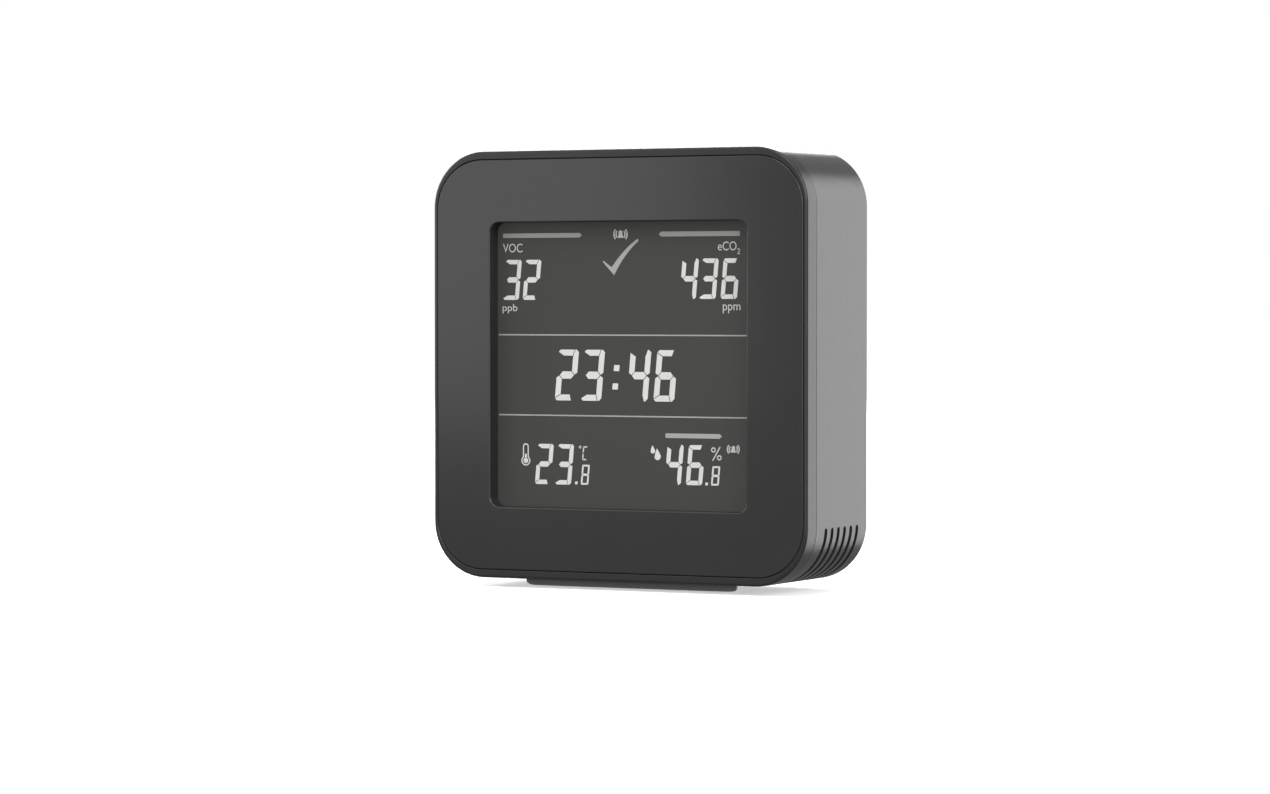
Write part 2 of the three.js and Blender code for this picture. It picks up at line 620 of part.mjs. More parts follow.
// ---- Power inlet: a steel shell open to the back, with a contact tongue inside ----
function addInlet() {
  const bottom = MAIN_BOARD_BACK + TOUCH;
  const outline = roundedRectangle(INLET.width, INLET.height, INLET.height / 2 - 0.05);
  const innerHeight = INLET.height - 2 * INLET.skin;
  const bore = roundedRectangle(INLET.width - 2 * INLET.skin, innerHeight, innerHeight / 2 - 0.05);
  const shell = cut(plate(outline, bottom, INLET.mouth, 5), plate(bore, bottom + INLET.base, DEPTH, 5));
  place(caseGroup, "usb_socket", shell, STEEL, 0, 0, INLET.z);
  const tongueFront = bottom + INLET.base + TOUCH;
  const tongueBack = INLET.mouth - 0.6;
  const tongue = plate(roundedRectangle(6.7, 0.7, 0.1), tongueFront, tongueBack, 1);
  place(caseGroup, "usb_tongue", tongue, BLACK_PLASTIC, 0, 0, INLET.z);
}

// ---- Keys: a cap held behind the back wall by its flange, a plunger, and a switch on the board ----
function addKeys() {
  const flangeBack = REAR_INSIDE - TOUCH;
  const flangeFront = flangeBack - KEY.flange;
  const plungerBack = flangeFront - TOUCH;
  const plungerRadius = 1.7;
  const switchSide = 6;
  const switchFront = MAIN_BOARD_BACK + TOUCH;
  const switchBack = plungerBack - 1.3;
  const wellBottom = switchBack - 1.5;
  const plungerFront = wellBottom + 0.1 + KEY_TRAVEL;
  const keyTop = DEPTH - KEY.sunk;
  const cap = join(
    plate(roundedRectangle(KEY.width + 1.6, KEY.height + 1.6, 1.6), flangeFront, flangeBack),
    softPlate(roundedRectangle(KEY.width, KEY.height, KEY.corner), flangeFront + 0.2, keyTop, 0.25, 2, 1),
  );
  const plunger = bar(plungerRadius, plungerFront, plungerBack, 0, 0, 16);
  const body = cut(
    box(switchSide, switchBack - switchFront, switchSide, 0, (switchFront + switchBack) / 2, 0),
    bar(plungerRadius + CLEAR, wellBottom, switchBack + 1, 0, 0, 16),
  );
  keyPlaces().forEach((x, i) => {
    const number = i + 1;
    place(caseGroup, "button_" + number, cap, CASE_GREY, x, 0, KEY_HEIGHT_ON_BACK);
    place(caseGroup, "button_plunger_" + number, plunger, BLACK_PLASTIC, x, 0, KEY_HEIGHT_ON_BACK);
    place(caseGroup, "button_switch_" + number, body, BLACK_PLASTIC, x, 0, KEY_HEIGHT_ON_BACK);
  });
}

// ---- Foot: a plate that turns about an upright pivot, with a rubber pad and a screw from inside ----
// The foot's plan, wide at the front and narrow at the back, with every side moved inwards by the inset.
// The shape's y runs forwards from the pivot.
function footPlan(inset) {
  const lean = (FOOT_FRONT_WIDTH - FOOT_BACK_WIDTH) / 2 / (2 * FOOT_REACH);
  const sideInset = inset * Math.sqrt(1 + lean * lean);
  const reach = FOOT_REACH - inset;
  const middle = (FOOT_FRONT_WIDTH + FOOT_BACK_WIDTH) / 4 - sideInset;
  const front = middle + lean * reach;
  const back = middle - lean * reach;
  const corners = [[-back, -reach], [back, -reach], [front, reach], [-front, reach]];
  return roundedPolygon(corners.map(([x, y]) => new THREE.Vector2(x, y)), FOOT_CORNER);
}

function addFoot() {
  const plateTop = FOOT_DROP - CLEAR;
  const padTop = 0.8;
  const pivotTop = FOOT_DROP + WALL + 0.25;
  // Flat pieces here are made upright and then laid down, so that depth becomes height.
  const laid = (manifold) => manifold.rotate([90, 0, 0]);
  const above = post(FOOT_FRONT_WIDTH, plateTop, plateTop + 5);
  const slab = cut(laid(softPlate(footPlan(0), PAD_PROUD, plateTop + 2, FOOT_EDGE, 4)), above);
  const recess = footPlan(PAD_INSET - CLEAR);
  const footPlate = cut(
    join(slab, post(PIVOT_RADIUS, PAD_PROUD + 1, pivotTop)),
    laid(plate(recess, -1, padTop + TOUCH)),
    post(1.5, FOOT_DROP, pivotTop + 1, 0, 0, 12),
  );
  place(footGroup, "foot_plate", footPlate, CASE_GREY);
  const pad = laid(plate(footPlan(PAD_INSET), 0, padTop));
  place(footGroup, "foot_pad", pad, RUBBER);
  const washerTop = pivotTop + TOUCH + 0.6;
  const washer = cut(post(6.5, pivotTop + TOUCH, washerTop), post(1.6, 0, washerTop + 1, 0, 0, 12));
  place(footGroup, "foot_washer", washer, STEEL);
  const footScrew = place(footGroup, "foot_screw", screw(2.8, 1.8, 1.2, 2.8), STEEL, 0, 0, washerTop + TOUCH);
  footScrew.rotation.x = Math.PI / 2;
}

addFront();
addDisplay();
addHousing();
addMainBoard();
addBattery();
addRibbon();
addInlet();
addKeys();
addFoot();

export default monitor;
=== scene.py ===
"""A desktop air quality monitor: its looks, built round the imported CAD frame.

Metres in Blender, +Z up, the display faces -Y. Details are stated in millimetres, in case coordinates:
x from the middle, depth from the front face backwards, and z from the middle of the case's height.
"""

import json
import math

import bmesh
import bpy
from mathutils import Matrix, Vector


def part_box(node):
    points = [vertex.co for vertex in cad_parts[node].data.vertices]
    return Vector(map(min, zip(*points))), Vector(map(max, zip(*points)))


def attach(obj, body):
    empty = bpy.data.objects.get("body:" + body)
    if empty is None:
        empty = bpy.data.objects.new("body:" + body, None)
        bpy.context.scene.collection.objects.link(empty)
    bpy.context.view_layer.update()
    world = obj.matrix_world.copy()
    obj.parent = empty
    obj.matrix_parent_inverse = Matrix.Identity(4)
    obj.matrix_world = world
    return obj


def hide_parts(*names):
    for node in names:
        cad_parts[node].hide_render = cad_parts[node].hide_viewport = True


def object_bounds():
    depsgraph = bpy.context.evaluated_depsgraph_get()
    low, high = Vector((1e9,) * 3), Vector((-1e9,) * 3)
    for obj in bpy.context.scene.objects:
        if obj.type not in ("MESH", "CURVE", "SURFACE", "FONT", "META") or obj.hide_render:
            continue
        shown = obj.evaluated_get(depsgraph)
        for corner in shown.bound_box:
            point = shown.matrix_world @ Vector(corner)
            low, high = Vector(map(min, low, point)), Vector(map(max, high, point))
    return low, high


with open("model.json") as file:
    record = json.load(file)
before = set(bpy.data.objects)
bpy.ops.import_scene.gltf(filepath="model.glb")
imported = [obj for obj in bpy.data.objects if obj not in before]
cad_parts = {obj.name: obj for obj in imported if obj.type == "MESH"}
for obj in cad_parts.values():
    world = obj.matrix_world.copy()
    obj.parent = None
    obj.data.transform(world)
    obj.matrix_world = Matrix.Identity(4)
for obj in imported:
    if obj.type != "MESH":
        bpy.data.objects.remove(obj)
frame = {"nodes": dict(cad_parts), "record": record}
cad_low, cad_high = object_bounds()

# ---- Sizes, in millimetres: those of whole nodes come from the frame ----
MM = 0.001
FRAME_LOW, FRAME_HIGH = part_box("front_frame")
HOUSING_LOW, HOUSING_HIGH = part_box("rear_housing")
PANEL_LOW, PANEL_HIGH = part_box("front_panel")


def depths(node):
    """The depths of a CAD node's front and back."""
    low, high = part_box(node)
    return (low.y - FRAME_LOW.y) / MM, (high.y - FRAME_LOW.y) / MM


MIDDLE_Z = (FRAME_LOW.z + FRAME_HIGH.z) / 2
WIDTH = (FRAME_HIGH.x - FRAME_LOW.x) / MM
HEIGHT = (FRAME_HIGH.z - FRAME_LOW.z) / MM
SEAM, DEPTH = depths("rear_housing")
TONGUE_END = depths("front_frame")[1]
CORNER = 12.5
WALL = 2.0
CLEAR = 0.3
TOUCH = 0.05
CORNER_STEPS = 18
SMALL_STEPS = 8
SHARP_ANGLE = math.radians(35)

# The panel is drawn a little larger than its node, so that the gap round it looks as fine as it should.
PANEL_GAP = 0.12
PANEL_GROWTH = (CLEAR - PANEL_GAP) / 2
PANEL_WIDTH = (PANEL_HIGH.x - PANEL_LOW.x) / MM + 2 * PANEL_GROWTH
PANEL_HEIGHT = (PANEL_HIGH.z - PANEL_LOW.z) / MM + 2 * PANEL_GROWTH
PANEL_CORNER = 10.94 + PANEL_GROWTH
PANEL_THICK = 2.0
WINDOW = 63.2
WINDOW_CORNER = 2.2
COLLAR = 1.3
COLLAR_END = (PANEL_HIGH.y - PANEL_LOW.y) / MM
LEDGE_FRONT = 2.3
LEDGE_BACK = 3.8
LEDGE_OPENING = 70.6
LEDGE_CORNER = 3.0
TONGUE_TIP = 8.1
TONGUE_THICK = 1.2
GLASS_FRONT = depths("lcd_front_glass")[0]
DISPLAY_BOARD_FRONT = depths("display_board")[0]
MAIN_BOARD_BACK = depths("main_board")[1]

# Screws: the places of one in each corner, and the radii of what is moulded for them
CASE_SCREW = (WIDTH / 2 - 8, HEIGHT / 2 - 8)
CASE_BOSS_RADIUS = 3.5
CASE_PILOT_RADIUS = 1.7
PILLAR_RADIUS = 4.0
SCREW_WELL_RADIUS = 3.1
SCREW_HOLE_RADIUS = 1.8
SCREW_SEAT = 22.0
DISPLAY_SCREW = (LEDGE_OPENING / 2 + 2.3, 25.0)
DISPLAY_BOSS_RADIUS = 2.2
DISPLAY_PILOT_RADIUS = 1.3
BOARD_SCREW = (29.0, 31.0)
BOARD_BOSS_RADIUS = 2.5
BOARD_PILOT_RADIUS = 1.3

VENT_COUNT = 6
VENT_FIRST = 9.9
VENT_PITCH = 3.3
VENT_WIDTH = 1.45
VENT_TURN = 78.0

KEY_WIDTH, KEY_HEIGHT, KEY_CORNER = 9.0, 5.0, 1.2
INLET_WIDTH, INLET_HEIGHT = 8.94, 3.26

FOOT_LOW, FOOT_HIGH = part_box("foot_plate")
PAD_LOW, PAD_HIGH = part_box("foot_pad")
FOOT_FRONT_WIDTH = (FOOT_HIGH.x - FOOT_LOW.x) / MM
FOOT_BACK_WIDTH = 32.7
FOOT_REACH = (FOOT_HIGH.y - FOOT_LOW.y) / 2 / MM
FOOT_CORNER = 2.5
PAD_INSET = FOOT_REACH - (PAD_HIGH.y - PAD_LOW.y) / 2 / MM
PIVOT_RADIUS = 3.4
FOOT_PILOT_RADIUS = 1.5

# The display's content lies on the glass.
MARK_BACK = GLASS_FRONT - 0.01
MARK_FRONT = GLASS_FRONT - 0.05


def case_point(x, depth, z):
    """The point of the scene at these case coordinates."""
    return Vector((x * MM, FRAME_LOW.y + depth * MM, MIDDLE_Z + z * MM))


# ---- Mesh building ----
def outline(width, height, radius, steps=CORNER_STEPS, x=0.0, z=0.0):
    """A rounded rectangle as (x, z) points."""
    points = []
    for quarter, (side_x, side_z) in enumerate(((1, 1), (-1, 1), (-1, -1), (1, -1))):
        for i in range(steps + 1):
            angle = math.radians(90 * (quarter + i / steps))
            points.append(
                (
                    x + side_x * (width / 2 - radius) + radius * math.cos(angle),
                    z + side_z * (height / 2 - radius) + radius * math.sin(angle),
                )
            )
    return points


def case_size(inset):
    """Width, height and corner radius of the case's outline, moved inwards by the inset."""
    return WIDTH - 2 * inset, HEIGHT - 2 * inset, CORNER - inset


def ring_at(depth, points):
    """The (x, z) points at one depth, as places in the scene."""
    return [case_point(x, depth, z) for x, z in points]


def quarter_arc(steps):
    """Pairs (sine, one less cosine) of a quarter turn, for rounding an edge."""
    angles = [math.pi / 2 * i / steps for i in range(steps + 1)]
    return [(math.sin(a), 1 - math.cos(a)) for a in angles]


def link(name, mesh):
    """A new object of the scene."""
    piece = bpy.data.objects.new(name, mesh)
    bpy.context.scene.collection.objects.link(piece)
    return piece


def mesh_object(name, bm):
    """One object made of the mesh under construction, with its faces turned outwards."""
    bmesh.ops.recalc_face_normals(bm, faces=bm.faces)
    mesh = bpy.data.meshes.new(name)
    bm.to_mesh(mesh)
    bm.free()
    return link(name, mesh)


def add_loft(bm, rings, closed=False):
    """Skin that joins the rings in turn: capped at both ends, or run back to its first ring."""
    rows = [[bm.verts.new(point) for point in ring] for ring in rings]
    pairs = list(zip(rows, rows[1:])) + ([(rows[-1], rows[0])] if closed else [])
    for first, second in pairs:
        for i in range(len(first)):
            j = (i + 1) % len(first)
            bm.faces.new((first[i], first[j], second[j], second[i]))
    if not closed:
        bm.faces.new(rows[0])
        bm.faces.new(reversed(rows[-1]))


def loft(name, rings, closed=False):
    """One object skinned over the rings."""
    bm = bmesh.new()
    add_loft(bm, rings, closed)
    return mesh_object(name, bm)


def merged(name, pieces):
    """One object that holds the meshes of several, which are removed."""
    bm = bmesh.new()
    for piece in pieces:
        bm.from_mesh(piece.data)
        remove(piece)
    return mesh_object(name, bm)


def remove(piece):
    """Takes a piece and its mesh out of the file."""
    mesh = piece.data
    bpy.data.objects.remove(piece)
    bpy.data.meshes.remove(mesh)


def apply_modifiers(piece):
    """Replaces the piece's mesh with what its modifiers make of it."""
    graph = bpy.context.evaluated_depsgraph_get()
    mesh = bpy.data.meshes.new_from_object(piece.evaluated_get(graph))
    old = piece.data
    piece.modifiers.clear()
    piece.data = mesh
    bpy.data.meshes.remove(old)


def combine(target, tools, operation):
    """Joins the tools to the target, or cuts them out of it."""
    tool = merged("tool", tools)
    step = target.modifiers.new("combine", "BOOLEAN")
    step.operation = operation
    step.solver = "EXACT"
    step.object = tool
    apply_modifiers(target)
    remove(tool)
    return target


def cut(target, tools):
    """The target without what the tools take up."""
    return combine(target, tools, "DIFFERENCE")


def join(target, tools):
    """The target and the tools as one solid."""
    return combine(target, tools, "UNION")


def soften(piece, width=0.0):
    """Rounds the sharp edges, if a width is stated, and shades smoothly between those that stay."""
    if width:
        bevel = piece.modifiers.new("edges", "BEVEL")
        bevel.width = width * MM
        bevel.segments = 2
        bevel.limit_method = "ANGLE"
        bevel.angle_limit = SHARP_ANGLE
        bevel.use_clamp_overlap = True
        apply_modifiers(piece)
    for face in piece.data.polygons:
        face.use_smooth = True
    bm = bmesh.new()
    bm.from_mesh(piece.data)
    for edge in bm.edges:
        edge.smooth = len(edge.link_faces) == 2 and edge.calc_face_angle() < SHARP_ANGLE
    bm.to_mesh(piece.data)
    bm.free()
    weighted = piece.modifiers.new("normals", "WEIGHTED_NORMAL")
    weighted.keep_sharp = True
    weighted.weight = 100
    return piece


def slab(name, points, front, back):
    """A plate with the outline of the (x, z) points, between two depths."""
    return loft(name, [ring_at(front, points), ring_at(back, points)])


def circle(radius, x, z, sides):
    """A circle as (x, z) points."""
    turns = [2 * math.pi * i / sides for i in range(sides)]
    return [(x + radius * math.cos(a), z + radius * math.sin(a)) for a in turns]


def rod(name, radius, front, back, x, z, sides=40):
    """A round bar that runs along the depth."""
    return slab(name, circle(radius, x, z, sides), front, back)


def turned(name, profile, x, z, sides):
    """A solid turned about a line along the depth. The profile is (radius, depth) pairs, off the axis."""
    return loft(name, [ring_at(depth, circle(radius, x, z, sides)) for radius, depth in profile])


def corner_places(x, z):
    """The place and its mirror images in the other three corners."""
    return [(side_x * x, side_z * z) for side_x in (-1, 1) for side_z in (-1, 1)]


# ---- Materials ----
class Finish:
    """A node-based surface: noise in object space drives its colour, roughness and relief."""

    def __init__(self, name, color, roughness, specular=0.5, metallic=0.0, coat=0.0):
        self.material = bpy.data.materials.new(name)
        self.material.use_nodes = True
        self.nodes = self.material.node_tree.nodes
        self.links = self.material.node_tree.links
        self.shader = self.nodes["Principled BSDF"]
        self.shader.inputs["Base Color"].default_value = (*color, 1)
        self.shader.inputs["Roughness"].default_value = roughness
        self.shader.inputs["Metallic"].default_value = metallic
        self.shader.inputs["Specular IOR Level"].default_value = specular
        self.shader.inputs["Coat Weight"].default_value = coat
        self.shader.inputs["Coat Roughness"].default_value = 0.1
        self.place = self.nodes.new("ShaderNodeTexCoord").outputs["Object"]

    def stretched(self, scale):
        """Object space squeezed by the scale, for noise that is finer along some axes."""
        mapping = self.nodes.new("ShaderNodeMapping")
        mapping.inputs["Scale"].default_value = scale
        self.links.new(self.place, mapping.inputs["Vector"])
        return mapping.outputs["Vector"]

    def noise(self, size, detail=3.0, vector=None):
        """Noise whose features are about size millimetres across."""
        node = self.nodes.new("ShaderNodeTexNoise")
        node.inputs["Scale"].default_value = 1 / (size * MM)
        node.inputs["Detail"].default_value = detail
        self.links.new(vector or self.place, node.inputs["Vector"])
        return node.outputs["Fac"]

    def ranged(self, value, low, high, from_low=0.3, from_high=0.7):
        """The value carried from its own range to the range from low to high."""
        node = self.nodes.new("ShaderNodeMapRange")
        node.inputs["From Min"].default_value = from_low
        node.inputs["From Max"].default_value = from_high
        node.inputs["To Min"].default_value = low
        node.inputs["To Max"].default_value = high
        self.links.new(value, node.inputs["Value"])
        return node.outputs["Result"]

    def mixed(self, factor, first, second):
        """A colour between two, each a tuple or a socket."""
        node = self.nodes.new("ShaderNodeMix")
        node.data_type = "RGBA"
        self.links.new(factor, node.inputs["Factor"])
        for socket, value in (("A", first), ("B", second)):
            target = [s for s in node.inputs if s.name == socket and s.type == "RGBA"][0]
            if isinstance(value, tuple):
                target.default_value = (*value, 1)
            else:
                self.links.new(value, target)
        return [s for s in node.outputs if s.type == "RGBA"][0]

    def edge(self, radius):
        """Near 0 on a flat, and up to 1 within the radius in millimetres of a sharp edge."""
        rounded = self.nodes.new("ShaderNodeBevel")
        rounded.samples = 4
        rounded.inputs["Radius"].default_value = radius * MM
        flat = self.nodes.new("ShaderNodeNewGeometry").outputs["Normal"]
        likeness = self.nodes.new("ShaderNodeVectorMath")
        likeness.operation = "DOT_PRODUCT"
        self.links.new(rounded.outputs["Normal"], likeness.inputs[0])
        self.links.new(flat, likeness.inputs[1])
        return self.ranged(likeness.outputs["Value"], 1, 0, 0.75, 0.98)

    def set_color(self, socket):
        """Lets the socket drive the base colour."""
        self.links.new(socket, self.shader.inputs["Base Color"])

    def set_roughness(self, socket):
        """Lets the socket drive the roughness."""
        self.links.new(socket, self.shader.inputs["Roughness"])

    def relief(self, height, distance, strength):
        """A bump of the stated depth in millimetres."""
        node = self.nodes.new("ShaderNodeBump")
        node.inputs["Distance"].default_value = distance * MM
        node.inputs["Strength"].default_value = strength
        self.links.new(height, node.inputs["Height"])
        self.links.new(node.outputs["Normal"], self.shader.inputs["Normal"])


def shade(color, factor):
    """The colour made lighter or darker."""
    return tuple(min(1.0, channel * factor) for channel in color)


def moulded(name, color, roughness, specular=0.5):
    """Moulded plastic: fine spark-eroded grain, cloudy gloss and slightly paler edges, partly wear and partly
    a painted highlight.
    """
    spread, wear_and_highlight = 0.03, 0.5
    finish = Finish(name, color, roughness, specular)
    cloud = finish.noise(9.0, 2.0)
    tint = finish.mixed(finish.ranged(cloud, 0, 1), shade(color, 1 - spread), shade(color, 1 + spread))
    # Paler edges: partly wear, partly a painted highlight along every sharp edge.
    worn_and_lit_edge = finish.nodes.new("ShaderNodeMath")
    worn_and_lit_edge.operation = "MULTIPLY"
    finish.links.new(finish.edge(0.35), worn_and_lit_edge.inputs[0])
    finish.links.new(finish.ranged(finish.noise(1.6, 4.0), 0, wear_and_highlight), worn_and_lit_edge.inputs[1])
    finish.set_color(finish.mixed(worn_and_lit_edge.outputs["Value"], tint, shade(color, 2.2)))
    finish.set_roughness(finish.ranged(finish.noise(2.0, 4.0), roughness * 0.95, roughness * 1.05))
    finish.relief(finish.noise(0.3, 2.0), 0.004, 0.6)
    return finish.material


def glossy_panel():
    """Smooth lacquered panel: very slight waviness and a few hairlines of handling."""
    color = (0.028, 0.028, 0.0275)
    finish = Finish("panel_gloss", color, 0.16, specular=0.5)
    cloud = finish.noise(14.0, 2.0)
    finish.set_color(finish.mixed(finish.ranged(cloud, 0, 1), shade(color, 0.97), shade(color, 1.03)))
    hairs = finish.noise(1.2, 5.0, finish.stretched((1.0, 1.0, 14.0)))
    finish.set_roughness(finish.ranged(hairs, 0.14, 0.17, 0.4, 0.75))
    finish.relief(finish.noise(7.0, 1.0), 0.002, 0.1)
    return finish.material


def display_film():
    """The display's front polariser: dark, even, with a faint anti-glare grain, and a faint glow that is
    partly the backlight's leak and partly painted light that fills the shade under the window's edge.
    """
    color = (0.026, 0.026, 0.024)
    finish = Finish("display_film", color, 0.6, specular=0.3)
    # Glow: partly real backlight leak, partly painted light that evens out the shade from the window's top
    # edge.
    finish.shader.inputs["Emission Color"].default_value = (1.0, 1.0, 0.95, 1)
    finish.shader.inputs["Emission Strength"].default_value = 0.0265
    cloud = finish.noise(22.0, 1.0)
    finish.set_color(finish.mixed(finish.ranged(cloud, 0, 1), shade(color, 0.97), shade(color, 1.03)))
    finish.set_roughness(finish.ranged(finish.noise(0.6, 2.0), 0.57, 0.63))
    finish.relief(finish.noise(0.12, 2.0), 0.003, 0.3)
    return finish.material


def lit_mark(name, color, glow):
    """A lit part of the display, with the slight unevenness of its backlight."""
    finish = Finish(name, color, 0.5, specular=0.2)
    cloud = finish.noise(6.0, 2.0)
    finish.set_color(finish.mixed(finish.ranged(cloud, 0, 1), shade(color, 0.95), shade(color, 1.04)))
    finish.set_roughness(finish.ranged(finish.noise(0.8, 2.0), 0.46, 0.54))
    finish.relief(finish.noise(0.3, 1.0), 0.002, 0.2)
    finish.shader.inputs["Emission Color"].default_value = (*color, 1)
    finish.shader.inputs["Emission Strength"].default_value = glow
    return finish.material


def metal(name, color, roughness, brushed=(1.0, 1.0, 12.0)):
    """Plated or brushed metal: streaks along one way, and patchy dullness."""
    finish = Finish(name, color, roughness, metallic=1.0)
    streaks = finish.noise(0.5, 4.0, finish.stretched(brushed))
    finish.set_color(finish.mixed(finish.ranged(streaks, 0, 1), shade(color, 0.85), shade(color, 1.08)))
    finish.set_roughness(finish.ranged(finish.noise(1.5, 3.0), roughness * 0.75, roughness * 1.3))
    finish.relief(streaks, 0.004, 0.4)
    return finish.material


def circuit_board():
    """Green solder mask over copper tracks: blocky track pattern in low relief."""
    mask = (0.012, 0.09, 0.035)
    finish = Finish("circuit_board", mask, 0.3, coat=0.4)
    cells = finish.nodes.new("ShaderNodeTexBrick")
    cells.inputs["Scale"].default_value = 180
    cells.inputs["Mortar Size"].default_value = 0.12
    cells.inputs["Color1"].default_value = (*mask, 1)
    cells.inputs["Color2"].default_value = (*shade(mask, 1.25), 1)
    cells.inputs["Mortar"].default_value = (*shade(mask, 2.0), 1)
    turned_place = finish.nodes.new("ShaderNodeMapping")
    turned_place.inputs["Rotation"].default_value = (math.pi / 2, 0, 0)
    finish.links.new(finish.place, turned_place.inputs["Vector"])
    finish.links.new(turned_place.outputs["Vector"], cells.inputs["Vector"])
    finish.set_color(cells.outputs["Color"])
    finish.set_roughness(finish.ranged(finish.noise(3.0), 0.25, 0.4))
    finish.relief(cells.outputs["Fac"], 0.03, 0.5)
    return finish.material


def soft_rubber(name, color, size=0.5, depth=0.03):
    """Rubber or foam: matte, with a fine pitted skin."""
    finish = Finish(name, color, 0.85, specular=0.25)
    cloud = finish.noise(5.0)
    finish.set_color(finish.mixed(finish.ranged(cloud, 0, 1), shade(color, 0.8), shade(color, 1.25)))
    finish.set_roughness(finish.ranged(finish.noise(2.0), 0.75, 0.95))
    pits = finish.nodes.new("ShaderNodeTexVoronoi")
    pits.inputs["Scale"].default_value = 1 / (size * MM)
    finish.links.new(finish.place, pits.inputs["Vector"])
    finish.relief(pits.outputs["Distance"], depth, 0.5)
    return finish.material


def pale_floor():
    """A pale sweep that glows a little, so that it stays as light as the backdrop right to its edge."""
    color = (0.86, 0.86, 0.86)
    finish = Finish("floor", color, 0.7, specular=0.2)
    cloud = finish.noise(120.0, 2.0)
    finish.set_color(finish.mixed(finish.ranged(cloud, 0, 1), shade(color, 0.985), shade(color, 1.0)))
    finish.shader.inputs["Emission Color"].default_value = (1, 1, 1, 1)
    finish.shader.inputs["Emission Strength"].default_value = 0.5
    return finish.material


CASE = moulded("case_plastic", (0.038, 0.038, 0.0372), 0.3)
FRAME = moulded("frame_plastic", (0.024, 0.024, 0.0237), 0.3, specular=0.38)
# The foot is lighter than the case: partly a paler plastic, partly painted bounce light from below.
FOOT = moulded("foot_plastic", (0.16, 0.16, 0.158), 0.4)
PANEL = glossy_panel()
# The window's walls are darker than the panel: painted shade in the recess.
WINDOW_WALL = moulded("window_wall", (0.02, 0.02, 0.0197), 0.6, specular=0.2)
FILM = display_film()
DIGIT_WHITE = lit_mark("display_white", (0.62, 0.62, 0.61), 0.12)
LABEL_WHITE = lit_mark("display_label", (0.5, 0.5, 0.49), 0.12)
MARK_GREY = lit_mark("display_grey", (0.36, 0.36, 0.355), 0.06)
WHITE = moulded("white_plastic", (0.78, 0.78, 0.75), 0.5)
BLACK = moulded("black_plastic", (0.02, 0.02, 0.02), 0.5)
BOARD = circuit_board()
STEEL = metal("steel", (0.56, 0.56, 0.57), 0.3)
GOLD = metal("gold_contact", (0.83, 0.6, 0.26), 0.25)
FOIL = metal("battery_foil", (0.62, 0.63, 0.65), 0.45, (1.0, 3.0, 1.0))
RUBBER = soft_rubber("rubber", (0.018, 0.018, 0.018))
FOAM = soft_rubber("foam", (0.03, 0.03, 0.03), 0.8, 0.15)
RED = moulded("red_insulation", (0.5, 0.02, 0.015), 0.45)
RIBBON = moulded("ribbon_film", (0.7, 0.73, 0.76), 0.35)
SLOT_MATERIALS = {
    "case_plastic": CASE,
    "panel_gloss": PANEL,
    "display_glass": FILM,
    "white_plastic": WHITE,
    "black_plastic": BLACK,
    "circuit_board": BOARD,
    "steel": STEEL,
    "rubber": RUBBER,
    "foam": FOAM,
    "battery_wrap": FOIL,
    "red_insulation": RED,
    "ribbon_film": RIBBON,
}


def paint(piece, material):
    """Gives the whole piece one material."""
    piece.data.materials.clear()
    piece.data.materials.append(material)
    return piece


def settle(piece, body, slot, material, *nodes):
    """The piece's finish, the body that it rides on and the CAD nodes that it stands for."""
    paint(piece, material)
    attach(piece, body)
    if nodes:
        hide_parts(*nodes)
    return piece


# ---- Camera, floor and light ----
CAMERA_FROM_FRONT = Vector((0.41562, -0.80617, 0.01381))
CAMERA_YAW = 27.013
CAMERA_PITCH = 1.306
CAMERA_LENS = 117.33
STUDIO_LEVEL = 0.28
FLOOR_SIDE = 24.0
FLOOR_DROP = 0.02


def add_camera():
    """A long lens, placed as the photo's camera was."""
    lens = bpy.data.cameras.new("camera")
    lens.lens = CAMERA_LENS
    lens.sensor_width = 36.0
    lens.clip_start = 0.01
    camera = link("camera", lens)
    camera.location = case_point(0, 0, 0) + CAMERA_FROM_FRONT
    tilt = math.radians(90 - CAMERA_PITCH)
    camera.rotation_euler = (tilt, 0, math.radians(CAMERA_YAW))
    bpy.context.scene.camera = camera


def add_floor():
    """A wide floor that only the camera sees."""
    half = FLOOR_SIDE / 2
    low = cad_low.z - FLOOR_DROP * MM
    corners = [(-half, -half), (half, -half), (half, half), (-half, half)]
    bm = bmesh.new()
    bm.faces.new([bm.verts.new((x, y, low)) for x, y in corners])
    floor = mesh_object("floor", bm)
    paint(floor, pale_floor())
    floor.visible_diffuse = False
    floor.visible_glossy = False
    floor.visible_shadow = False


def add_softbox(name, middle, target, size, radiance):
    """A rectangular soft light whose face has the stated brightness."""
    data = bpy.data.lights.new(name, "AREA")
    data.shape = "RECTANGLE"
    data.size, data.size_y = size
    data.energy = radiance * math.pi * size[0] * size[1]
    lamp = link(name, data)
    lamp.location = middle
    lamp.rotation_euler = (Vector(target) - Vector(middle)).to_track_quat("-Z", "Y").to_euler()
    lamp.visible_camera = False


def add_world():
    """A white backdrop for the camera, and a dim grey studio for everything else."""
    world = bpy.data.worlds.new("studio")
    world.use_nodes = True
    nodes, links = world.node_tree.nodes, world.node_tree.links
    studio = nodes["Background"]
    studio.inputs["Color"].default_value = (1, 1, 1, 1)
    studio.inputs["Strength"].default_value = STUDIO_LEVEL
    backdrop = nodes.new("ShaderNodeBackground")
    backdrop.inputs["Color"].default_value = (1, 1, 1, 1)
    choice = nodes.new("ShaderNodeMixShader")
    links.new(nodes.new("ShaderNodeLightPath").outputs["Is Camera Ray"], choice.inputs["Fac"])
    links.new(studio.outputs["Background"], choice.inputs[1])
    links.new(backdrop.outputs["Background"], choice.inputs[2])
    links.new(choice.outputs["Shader"], nodes["World Output"].inputs["Surface"])
    bpy.context.scene.world = world


